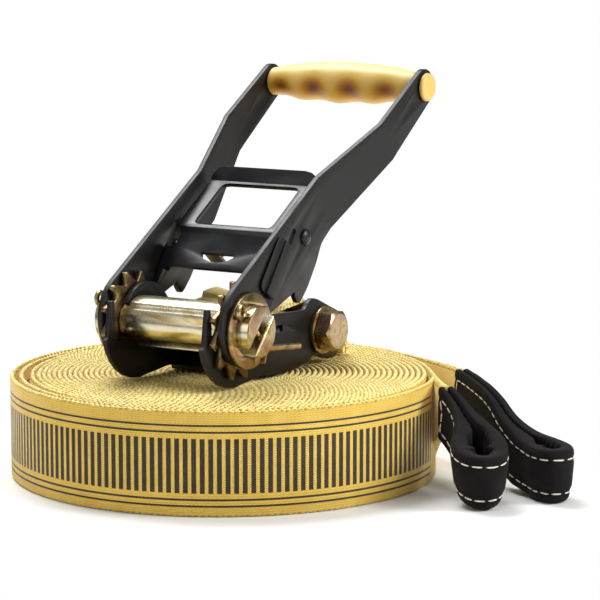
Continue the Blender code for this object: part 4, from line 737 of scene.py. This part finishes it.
line_radius = ROLL_REACH - BAND / 2
line_leaves = tangent_leave(line_radius, loop_start(LINE_LOOP_ROUTE)[0])
strap_leaves = tangent_leave(WRAP_RADIUS, loop_start(STRAP_LOOP_ROUTE)[0])
turns = (line_radius - ROLL_CORE) / ROLL_PITCH
print("turns of the wound line:", round(turns, 1))

# %% The band's cross-section
EDGE_PLACES = (1.0, 1.0, 0.55, 0.0, -0.55, -1.0, -1.0, -0.55, 0.0, 0.55)   # across the edge, for its UVs
FRONT_FACE, BACK_FACE = [0, 1], [5, 6]        # the ring's points at the band's broad faces


def wobble(point, size, seed):
    """Smooth unevenness from -1 to 1 at a place, at a size in metres."""
    return noise.noise(Vector((point[0] / size, point[1] / size, seed)))


def running_lengths(points):
    """How far along the path each of its points lies."""
    lengths = [0.0]
    for a, b in zip(points, points[1:]):
        lengths.append(lengths[-1] + (b - a).length)
    return lengths


def band_ring(here, side, half, lip, low, high, shoulder, dip, foot):
    """Ten points round a band that stands on its edge: two broad faces and two soft edges."""
    places = ((half, low + shoulder), (half, high - shoulder), (lip, high - dip), (0.0, high),
              (-lip, high - dip), (-half, high - shoulder), (-half, low + shoulder), (-lip, low + dip),
              (0.0, foot), (lip, low + dip))
    return [(*(here + side * across), up) for across, up in places]


print("points round the band:", len(EDGE_PLACES))

# %% The band's skin


def face_of(polygon):
    """The ring's points that a face of the band joins."""
    return sorted({v % len(EDGE_PLACES) for v in polygon.vertices})


def lay_uvs(mesh, lengths, edge_lengths):
    """UVs in metres on the broad faces; the edges get the second finish and a way along and across."""
    webbing = mesh.uv_layers.new(name="webbing")
    for polygon in mesh.polygons:
        broad = face_of(polygon) in (FRONT_FACE, BACK_FACE)
        polygon.material_index = 0 if broad else 1
        for loop in polygon.loop_indices:
            vertex = mesh.loops[loop].vertex_index
            row, spot = divmod(vertex, len(EDGE_PLACES))
            webbing.data[loop].uv = ((lengths[row], mesh.vertices[vertex].co.z) if broad
                                     else (edge_lengths[row], EDGE_PLACES[spot]))


def band_mesh(path, seed, rough=0.12 * MM, print_side=1, print_from=0.0):
    """A woven band on its edge along a path of points, with its print on one side, and its length."""
    rings = []
    half = BAND / 2
    for i, point in enumerate(path):
        heading = (path[min(i + 1, len(path) - 1)] - path[max(i - 1, 0)]).normalized()
        side = Vector((heading.y, -heading.x)) * print_side
        lift = rough * wobble(point, 3.2 * MM, seed + i * 0.001)
        top = BAND_WIDTH - rough - KNUCKLE_RISE + lift + KNUCKLE_RISE * (-1) ** i
        rings.append(band_ring(point, side, half, half * 0.55, 0.0, top, 0.9 * MM, 0.2 * MM, 0.02 * MM))
    mesh = skin(rings)
    lengths = running_lengths(path)
    lay_uvs(mesh, lengths, [(row + 0.5) * STATION for row in range(len(path))])
    face = mesh.uv_layers.new(name="face")
    for polygon in mesh.polygons:
        place = lengths[polygon.vertices[0] // len(EDGE_PLACES)]
        front = float(face_of(polygon) == FRONT_FACE and print_from < place)
        for loop in polygon.loop_indices:
            face.data[loop].uv = (front, 0.0)
    mesh.transform(LOOP_FRAME)
    return mesh, lengths[-1]


def band_piece(name, node, path, seed, **options):
    """A printed band that lies on the floor, with its flat size."""
    mesh, length = band_mesh(path, seed, **options)
    made = dressed(name, mesh, 60.0, BASE, [printed_webbing, knuckled_edge], "yellow_webbing", [node])
    print(name, "stations", len(path), "length m", round(length, 2))


def off_left(angle):
    """From 0 to 1 towards the roll's left, where its turns are loose."""
    return max(0.0, cos(angle - LOOSE_SIDE)) ** 2.2


# %% Wound line
path = []
angle_back, radius = 0.0, line_radius
while radius > ROLL_CORE:
    turns_in = angle_back / (2 * pi)
    radius = line_radius - ROLL_PITCH * turns_in
    where = line_leaves + angle_back
    drawn_in = share_of(turns_in, LOOSE_TURNS) * (radius / line_radius) ** 2.6
    unevenness = 0.16 * MM * noise.noise(Vector((cos(where) * 1.7, sin(where) * 1.7, turns_in * 0.05)))
    path.append(around(where, radius - LOOSE * off_left(where) * drawn_in + unevenness))
    angle_back += STATION / max(radius, 12 * MM)
path.reverse()
band_piece("wound_line", "webbing_roll", path, 3.0, rough=ROUGH_RIM)

# %% [markdown]
# ## The anchor strap's turn and the two tails
# The anchor strap goes once round the outside of the roll. Its tail and the line's tail leave on the
# right, narrow as the webbing is folded in half lengthwise, and go into their padded sleeves.

# %% Anchor strap's turn
path = []
back = 2 * pi - WRAP_GAP
while back > strap_leaves - line_leaves:
    where = line_leaves + back
    ease = share_of(2 * pi - WRAP_GAP - back, WRAP_EASE)
    uneven = 0.1 * MM * wobble((cos(where), sin(where)), 0.5, 2.0)
    slack = WRAP_SLACK * off_left(where)
    path.append(around(where, WRAP_RADIUS - (1.0 - ease) * 0.6 * MM - slack + uneven))
    back -= STATION / WRAP_RADIUS
path.append(around(strap_leaves, WRAP_RADIUS))
band_piece("anchor_strap_turn", "strap_wrap", path, 9.0, print_side=-1, print_from=PLAIN_END)

# %% Tails
FOLDED_HEIGHT, FOLDED_THICKNESS = 26.0 * MM, 5.2 * MM
TAIL_STATIONS = 36


def tail_piece(name, node, leaves, radius, route):
    """A band that leaves the roll at full width and is folded in half by the time it meets its sleeve."""
    heading = Vector((sin(leaves), -cos(leaves)))
    target, end_heading = loop_start(route)
    first, last = around(leaves, radius) + heading * 0.2 * MM, target - end_heading * 0.15 * MM
    span = (last - first).length
    rings = []
    for k in range(TAIL_STATIONS):
        t = k / (TAIL_STATIONS - 1)
        here = ((1 - t) ** 3 * first + 3 * t * (1 - t) ** 2 * (first + heading * span / 3)
                + 3 * t * t * (1 - t) * (last - end_heading * span / 3) + t**3 * last)
        way = heading.lerp(end_heading, t).normalized()
        fold = t * t * (3 - 2 * t)
        half = (BAND + (FOLDED_THICKNESS - BAND) * fold) / 2
        low, high = (BAND_WIDTH - FOLDED_HEIGHT) * fold, BAND_WIDTH - 0.1 * MM
        soft = min(0.9 * MM + 0.9 * MM * fold, half * 0.9)
        side = Vector((way.y, -way.x))
        rings.append(band_ring(here, side, half, half * 0.6, low, high, soft, soft * 0.25, low))
    mesh = skin(rings)
    lengths = [span * k / (TAIL_STATIONS - 1) for k in range(TAIL_STATIONS)]
    lay_uvs(mesh, lengths, lengths)
    mesh.transform(LOOP_FRAME)
    made = dressed(name, mesh, 60.0, BASE, [plain_webbing, knuckled_edge], "yellow_webbing", [node])
    print(name, "length mm", round(span / MM))


tail_piece("line_tail_folding", "line_tail", line_leaves, line_radius, LINE_LOOP_ROUTE)
tail_piece("strap_tail_folding", "strap_tail", strap_leaves, WRAP_RADIUS, STRAP_LOOP_ROUTE)

# %% [markdown]
# ## Padded sleeves
# Each loop end wears a foam-lined sleeve, 26 mm tall when folded, that runs out, round the eye and back
# beside itself. A swept rounded section makes it; the two seams draw the cloth in by half a millimetre,
# and the inner side of each bend is puckered, because foam can't shorten without folding.

# %% Padded sleeves


def curve_through(points, step):
    """Points about one step apart on a Catmull-Rom curve through the given ones."""
    given = [Vector(p) for p in points]
    out = []
    for i in range(len(given) - 1):
        a, b, c, d = (given[min(max(i + k - 1, 0), len(given) - 1)] for k in range(4))
        pieces = max(1, round((c - b).to_3d().length / step))
        for k in range(pieces):
            t = k / pieces
            out.append(0.5 * (2 * b + (c - a) * t + (2 * a - 5 * b + 4 * c - d) * t**2
                              + (3 * b - a - 3 * c + d) * t**3))
    out.append(given[-1])
    return out


SEAM = 4.8 * MM            # seam's distance from the sleeve's edges
SEAM_DRAW = 0.55 * MM      # how far the seam pulls the cloth in
SLEEVE_STATION = 1.1 * MM
SECTION_POINTS = 36
PRESSED = 2.9 * MM         # legs nearer than this lie pressed together
LEG_GAP = 0.16 * MM
PUCKER = 0.7 * MM          # how far the inner side of a bend crumples, fully so
SHARP_BEND = 60.0          # where the sleeve turns by this many radians to the metre
EYE_LEG = 7.4 * MM         # the sleeve is fuller than this round its eye
FOOT_LEAN = 3.6 * MM       # how far the eye's outer side leans in at its foot
SLIM = 0.35 * MM           # the cloth's section lies this far inside the leg's thickness
PLUMP = 0.35 * MM          # and swells by this between its seams

print("sleeve stations about", round(SLEEVE_STATION / MM, 1), "mm apart")

# %% Path of a sleeve


def foot_lean(leg, height):
    """How far the sleeve leans in at a height from -1 to 1; it leans only where it is full, round its eye."""
    return FOOT_LEAN * share_of(leg - EYE_LEG, 1.2 * MM) * ((1 - height) / 2) ** 1.6


def sleeve_stations(route):
    """Along the sleeve: middle, heading, side towards the eye, leg thickness, bend, inner half thickness."""
    points = curve_through([tuple(value * MM for value in point) for point in route], SLEEVE_STATION)
    set_out = loop_start(route)[1]
    stations = []
    for i, (x, y, top, leg) in enumerate(points):
        before, after = points[max(i - 2, 0)], points[min(i + 2, len(points) - 1)]
        way = Vector((after[0] - before[0], after[1] - before[1], 0.0)).normalized()
        if i == 0 or i == len(points) - 1:
            way = set_out.to_3d() * (1 if i == 0 else -1)
        middle = Vector((x, y, max(top - FOLDED_HEIGHT / 2, FOLDED_HEIGHT / 2 + 0.2 * MM)))
        stations.append([middle, way, Vector((-way.y, way.x, 0.0)), leg, 0.0, leg / 2])
    for i in range(2, len(stations) - 2):
        turn = stations[i - 2][1].cross(stations[i + 2][1]).z
        stations[i][4] = abs(turn) / (4 * SLEEVE_STATION)
    for i, station in enumerate(stations):
        others = stations[len(stations) // 2:] if i < len(stations) // 2 else stations[:len(stations) // 2]
        flat = station[0].xy
        apart = min((flat - other[0].xy).length for other in others)
        free = share_of(apart - station[3] - PRESSED, PRESSED)
        touching = apart / 2 - LEG_GAP / 2
        station[5] = station[3] / 2 * free + max(touching, station[3] / 2) * (1 - free)
    middle = len(stations) // 2
    for i in range(middle - 12, middle + 12):
        stations[i][5] = stations[i][3] / 2
    return stations


# %% Section of a sleeve


def sleeve_section(station, index):
    """One ring of the sleeve: a rounded rectangle, drawn in at its seams and puckered inside the bend."""
    middle, _, side, leg, bend, inner = station
    rise = FOLDED_HEIGHT / 2
    pressed = share_of(inner - leg / 2, 0.8 * MM)
    ring = []
    for k in range(SECTION_POINTS):
        a = 2 * pi * (k + 0.5) / SECTION_POINTS
        inwards = cos(a) > 0
        held = pressed if inwards else 0.0
        u = abs(cos(a)) ** (0.5 - 0.40 * held) * (1 if inwards else -1)
        v = abs(sin(a)) ** 0.36 * (1 if sin(a) > 0 else -1)
        up = v * rise
        near_seam = max(0.0, 1 - abs(abs(up) - (rise - SEAM)) / (1.5 * MM))
        plump = PLUMP * max(0.0, 1 - (up / (rise - SEAM)) ** 2) if leg > 6 * MM else 0.0
        across = u * ((inner if inwards else leg / 2) + (plump - SLIM) * (1 - held))
        if abs(u) > 0.4:
            across -= SEAM_DRAW * near_seam * (1 - held if inwards else -1)
        ripple = sin(index * SLEEVE_STATION / (0.62 * MM) + 2 * v) if inwards else 0.0
        pucker = PUCKER * share_of(bend, SHARP_BEND) * ripple
        uneven = 0.3 * MM * (1 - held) * noise.noise(Vector((middle.x, middle.y, up)) / (9 * MM))
        lean = foot_lean(leg, v) * (0.35 if inwards else 1.0)
        place = middle + side * (across + lean + (pucker + uneven) * u)
        place.z = max(place.z + up + uneven * 0.6 * abs(v), 0.05 * MM)
        ring.append(place)
    return ring


def sleeve_piece(name, node, route):
    """A padded sleeve along a loop's route."""
    stations = sleeve_stations(route)
    mesh = skin([sleeve_section(s, i) for i, s in enumerate(stations)])
    mesh.transform(LOOP_FRAME)
    made = dressed(name, mesh, 50.0, BASE, [sleeve_cloth], "padded_sleeve", [node])
    return stations


line_stations = sleeve_piece("line_padded_sleeve", "line_sleeve", LINE_LOOP_ROUTE)
strap_stations = sleeve_piece("strap_padded_sleeve", "strap_sleeve", STRAP_LOOP_ROUTE)
print("sleeve stations:", len(line_stations), len(strap_stations))

# %% [markdown]
# ## Stitches
# The cream stitches are the brightest marks on the sleeves: long stitches with short gaps along both
# seams, and one row across each leg where the sleeve begins. Every stitch is a small sunk capsule, and
# its length varies a little, as sewing by hand-guided machine does.

# %% One stitch
STITCH = 4.2 * MM
STITCH_GAP = 1.0 * MM
STITCH_RADIUS = 0.32 * MM
STITCH_SIDES = 8
SEAM_START = 3.2 * MM
SEAM_UP = FOLDED_HEIGHT / 2 - SEAM


def add_stitch(edit, points, outwards):
    """One stitch along a few points, flattened on the cloth."""
    rings = []
    last = len(points) - 1
    for i, point in enumerate(points):
        way = (points[min(i + 1, last)] - points[max(i - 1, 0)]).normalized()
        across = way.cross(outwards).normalized()
        swell = sqrt(max(0.0, 1 - (2 * i / last - 1) ** 6)) * 0.85 + 0.15
        lift = outwards * STITCH_RADIUS * (0.55 * swell - 0.25)
        rings.append([point + lift + across * STITCH_RADIUS * 1.15 * swell * cos(b)
                      + outwards * STITCH_RADIUS * 0.8 * swell * sin(b)
                      for b in angles_round(STITCH_SIDES)])
    add_rings(edit, rings)


def face_point(station, side_sign, up, drawn=SEAM_DRAW * 0.85):
    """A point of the sleeve's broad face at a height from its middle, drawn in as far as its seam is."""
    middle, _, side, leg, *_ = station
    across = side_sign * (leg / 2 - SLIM - drawn) + foot_lean(leg, up / (FOLDED_HEIGHT / 2))
    return middle + side * across + Vector((0.0, 0.0, up))


print("stitches about", round(STITCH / MM, 1), "mm long")

# %% Rows of stitches


def seam_rows(edit, stations, side_sign, up, seed):
    """A row of stitches along a seam."""
    place = SEAM_START
    total = (len(stations) - 1) * SLEEVE_STATION
    while place + STITCH < total - SEAM_START:
        length = STITCH * (1 + 0.16 * noise.noise(Vector((place * 90, seed, 0.0))))
        points = []
        for k in range(7):
            at = (place + length * k / 6) / SLEEVE_STATION
            i = min(int(at), len(stations) - 2)
            a, b = face_point(stations[i], side_sign, up), face_point(stations[i + 1], side_sign, up)
            drift = Vector((0.0, 0.0, 0.3 * MM * noise.noise(Vector((at * 0.2, seed, 4.0)))))
            points.append(a.lerp(b, at - i) + drift)
        outwards = stations[min(int((place + length / 2) / SLEEVE_STATION), len(stations) - 1)][2] * side_sign
        add_stitch(edit, points, outwards)
        place += length + STITCH_GAP


def cross_row(edit, station, side_sign, seed):
    """Stitches across a leg where the sleeve begins."""
    for k in range(3):
        a = SEAM_UP * (2 * k / 3 - 1) + 0.3 * MM
        b = SEAM_UP * (2 * (k + 1) / 3 - 1) - 0.3 * MM
        points = []
        for j in range(6):
            up = a + (b - a) * j / 5
            sway = station[1] * 0.7 * MM * sin(up / (2.6 * MM) + seed)
            points.append(face_point(station, side_sign, up, 0.0) + sway)
        add_stitch(edit, points, station[2] * side_sign)


def stitching(name, stations, seed):
    """All the stitches of one sleeve."""
    edit = bmesh.new()
    for up in (SEAM_UP, -SEAM_UP):
        seam_rows(edit, stations, -1, up, seed + up * 100)
    cross_row(edit, stations[3], -1, seed)
    cross_row(edit, stations[-4], -1, seed + 1)
    bmesh.ops.recalc_face_normals(edit, faces=edit.faces)
    mesh = mesh_of(edit, name)
    mesh.transform(LOOP_FRAME)
    dressed(name, mesh, 60.0, BASE, [thread], "padded_sleeve")


stitching("line_sleeve_stitches", line_stations, 1.0)
stitching("strap_sleeve_stitches", strap_stations, 5.0)
print("stitches sewn")

# %% [markdown]
# ## The anchor strap in the ratchet
# The short strap is sewn round the bolt's spacer, and its slack bights up between the side plates. Soft
# webbing that is pushed together never lies level: one edge rises and the middle sags. A grid along
# the strap's route and across its width carries that, and Solidify gives it its thickness.

# %% Route of the anchor strap
ANCHOR_STRAP_ROUTE = [
    (113.6, -28.2), (113.4, -25.0), (111.4, -20.6), (106.4, -16.2), (98.0, -10.4), (89.0, -4.2),
    (80.0, -0.8), (72.0, 1.2), (64.0, 3.0), (54.0, 3.7), (46.0, 3.2), (42.6, 2.6), (41.0, 1.2),
    (42.6, -0.3), (46.0, -0.7), (54.0, -0.7), (60.0, -1.6), (64.4, -5.4), (67.6, -11.0), (71.2, -16.6),
    (76.0, -20.4), (82.0, -21.4), (90.0, -20.8), (98.0, -19.2), (104.0, -19.2), (108.4, -22.4),
    (110.2, -26.0), (110.3, -28.2),
]
STRAP_COLUMNS = 25
STRAP_HALF = 24.4 * MM
UPPER_SHARE = 0.42          # the upper layer's share of the route
CREST_RISE, NEAR_RISE = 5.0 * MM, 2.0 * MM
CREST_START, CREST_TOP, CREST_FALL = 35 * MM, 66 * MM, 5.0 * MM
WAVES_START, WAVES = 58 * MM, 21 * MM


def crest(x, y):
    """How far the slack rises above its route: a fold along the far edge, low waves along the near one."""
    if x < CREST_TOP:
        hump = max(0.0, (x - CREST_START) / (CREST_TOP - CREST_START))
    else:
        hump = max(0.0, 1 - (x - CREST_TOP) / CREST_FALL) ** 1.2
    across = y / (25 * MM)
    along = (x - WAVES_START) / WAVES
    waves = sin(pi * along) if 0 < along < 1 else 0.0
    near = max(0.0, -across) ** 1.5 * waves * (1 + 0.4 * sin(x / (2.1 * MM)))
    return CREST_RISE * hump * (0.12 + 0.88 * max(0.0, across) ** 1.3) + NEAR_RISE * near


print("points on the anchor strap's route:", len(ANCHOR_STRAP_ROUTE))

# %% Anchor strap in the ratchet
route = curve_through([(x * MM, z * MM) for x, z in ANCHOR_STRAP_ROUTE], 1.2 * MM)
lengths = running_lengths(route)
places = [STRAP_HALF * (2 * k / (STRAP_COLUMNS - 1) - 1) for k in range(STRAP_COLUMNS)]
rows = [[(x, y, z + (crest(x, y) if i < len(route) * UPPER_SHARE else 0.0)) for y in places]
        for i, (x, z) in enumerate(route)]
mesh = skin(rows, closed_round=False, caps=False)
webbing = mesh.uv_layers.new(name="webbing")
for loop in mesh.loops:
    i, k = divmod(loop.vertex_index, STRAP_COLUMNS)
    webbing.data[loop.index].uv = (lengths[i], BAND_WIDTH * k / (STRAP_COLUMNS - 1))
mesh.transform(Matrix.Translation(AXIS))
anchor_strap = in_scene("anchor_strap", mesh)
solid = anchor_strap.modifiers.new("Solidify", "SOLIDIFY")
solid.thickness = BAND
solid.offset = 0.0
solid.use_even_offset = True
solid.material_offset_rim = 1
for finish in (plain_webbing, knuckled_edge):
    anchor_strap.data.materials.append(finish)
applied(anchor_strap)
finish_shape(anchor_strap, 50.0)
settle(anchor_strap, BASE, [], "yellow_webbing", ["ratchet_strap"])
print("anchor strap: length m", round(lengths[-1], 3))

# %% [markdown]
# ## Grip
# The grip is a moulded tube, fuller in the middle, with four finger troughs on the side that faces down
# and forwards. Its radius is that of a long crown less a soft row of troughs, so one skin of rings
# shows both. Painted shade, darker under the grip and in the upper part of each trough, is kept as an
# attribute that the plastic's colour reads.

# %% Sizes and hollows of the grip
LEVER_TURN = radians(35.1)
LEVER_LENGTH = 186.35 * MM
GRIP_CENTRE = AXIS + Vector((cos(LEVER_TURN), 0.0, sin(LEVER_TURN))) * LEVER_LENGTH
GRIP_HALF, GRIP_BORE = 44.6 * MM, 3.8 * MM
GRIP_END, CROWN_FRONT, CROWN_BACK, TROUGH = 7.2 * MM, 2.9 * MM, 4.4 * MM, 1.9 * MM
END_ROUND, END_ROUND_FROM = 0.7 * MM, 0.9 * MM
FINGER_SPAN, FINGERS = 87.0 * MM, 4
FINGER_MIDDLE = 4.0 * MM     # the middle of the four troughs, towards the far end
GRIP_FACING = radians(172)
# Painted shade: the grip's underside is drawn a little deeper in tone, and each trough deeper still.
SHADE_TURN = radians(-6)     # the whole underside is a little deeper in tone
TONE_TURN = radians(-30)     # the deeper tone sits a little above the middle of each trough
GRIP_RINGS, GRIP_SIDES = 121, 72


def trough(along, angle):
    """From 0 on the plain grip to 1 in the deepest part of a finger trough."""
    along -= FINGER_MIDDLE
    inside = max(0.0, 1 - (2 * along / FINGER_SPAN) ** 8)
    facing = max(0.0, cos(angle)) ** 1.4
    wave = 0.5 + 0.5 * cos(2 * pi * (along / FINGER_SPAN * FINGERS - 0.5))
    return inside * facing * wave


def hollow_tone(along, angle):
    """Painted shade of the plastic's colour, from 0 to 1: deeper under the grip and in each trough."""
    shaded = max(0.0, cos(angle - SHADE_TURN)) ** 1.3
    patch = trough(along, 0.0) * max(0.0, cos(angle - TONE_TURN)) ** 5
    return min(1.0, 0.32 * shaded + 0.76 * patch)


print("finger troughs:", FINGERS)

# %% Grip


def moulded_piece(name, node, rings, hollows, place, close_path):
    """A piece of moulded plastic on the lever, with the tone and painted shade of each of its points."""
    mesh = skin(rings, close_path=close_path)
    mesh.attributes.new("hollow", "FLOAT", "POINT").data.foreach_set("value", hollows)
    mesh.transform(place)
    dressed(name, mesh, 40.0, LEVER, [moulded], "moulded_grip", [node])
    print(name, "points", len(hollows))


angles = angles_round(GRIP_SIDES)
rings, hollows = [], []
for k in range(GRIP_RINGS):
    along = GRIP_HALF * (2 * k / (GRIP_RINGS - 1) - 1)
    soft = END_ROUND * (1 - share_of(GRIP_HALF - abs(along), END_ROUND_FROM)) ** 2
    ring = []
    for a in angles:
        crown = CROWN_BACK + (CROWN_FRONT - CROWN_BACK) * (1 + cos(a)) / 2
        radius = GRIP_END + crown * (1 - (along / GRIP_HALF) ** 2) - TROUGH * trough(along, a) - soft
        ring.append((radius * cos(a), along, radius * sin(a)))
        hollows.append(hollow_tone(along, a))
    rings.append(ring)
for along in (GRIP_HALF, -GRIP_HALF):
    rings.append([(GRIP_BORE * cos(a), along, GRIP_BORE * sin(a)) for a in angles])
    hollows += [0.0] * GRIP_SIDES
place = Matrix.Translation(GRIP_CENTRE) @ Matrix.Rotation(GRIP_FACING - LEVER_TURN, 4, "Y")
moulded_piece("moulded_grip", "grip", rings, hollows, place, True)

# %% Caps
CAP_SEAT_Y, CAP_RADIUS, CAP_SIDES = 48.1 * MM, 7.2 * MM, 64
CAP_TONE = 0.15
CAP_PROFILE = [(0.0, 3.9 * MM), (0.0, CAP_RADIUS - 0.3 * MM), (0.3 * MM, CAP_RADIUS), (1.4 * MM, CAP_RADIUS),
               (1.9 * MM, CAP_RADIUS - 0.35 * MM), (2.2 * MM, CAP_RADIUS * 0.85),
               (2.45 * MM, CAP_RADIUS * 0.55), (2.55 * MM, CAP_RADIUS * 0.25), (2.6 * MM, CAP_RADIUS * 0.03)]
for sign, node in ((-1, "grip_cap_near"), (1, "grip_cap_far")):
    rings = [round_ring([(sign * (CAP_SEAT_Y + along), r)] * CAP_SIDES) for along, r in CAP_PROFILE]
    moulded_piece(node + "_moulded", node, rings, [CAP_TONE] * CAP_SIDES * len(rings),
                  Matrix.Translation(GRIP_CENTRE), False)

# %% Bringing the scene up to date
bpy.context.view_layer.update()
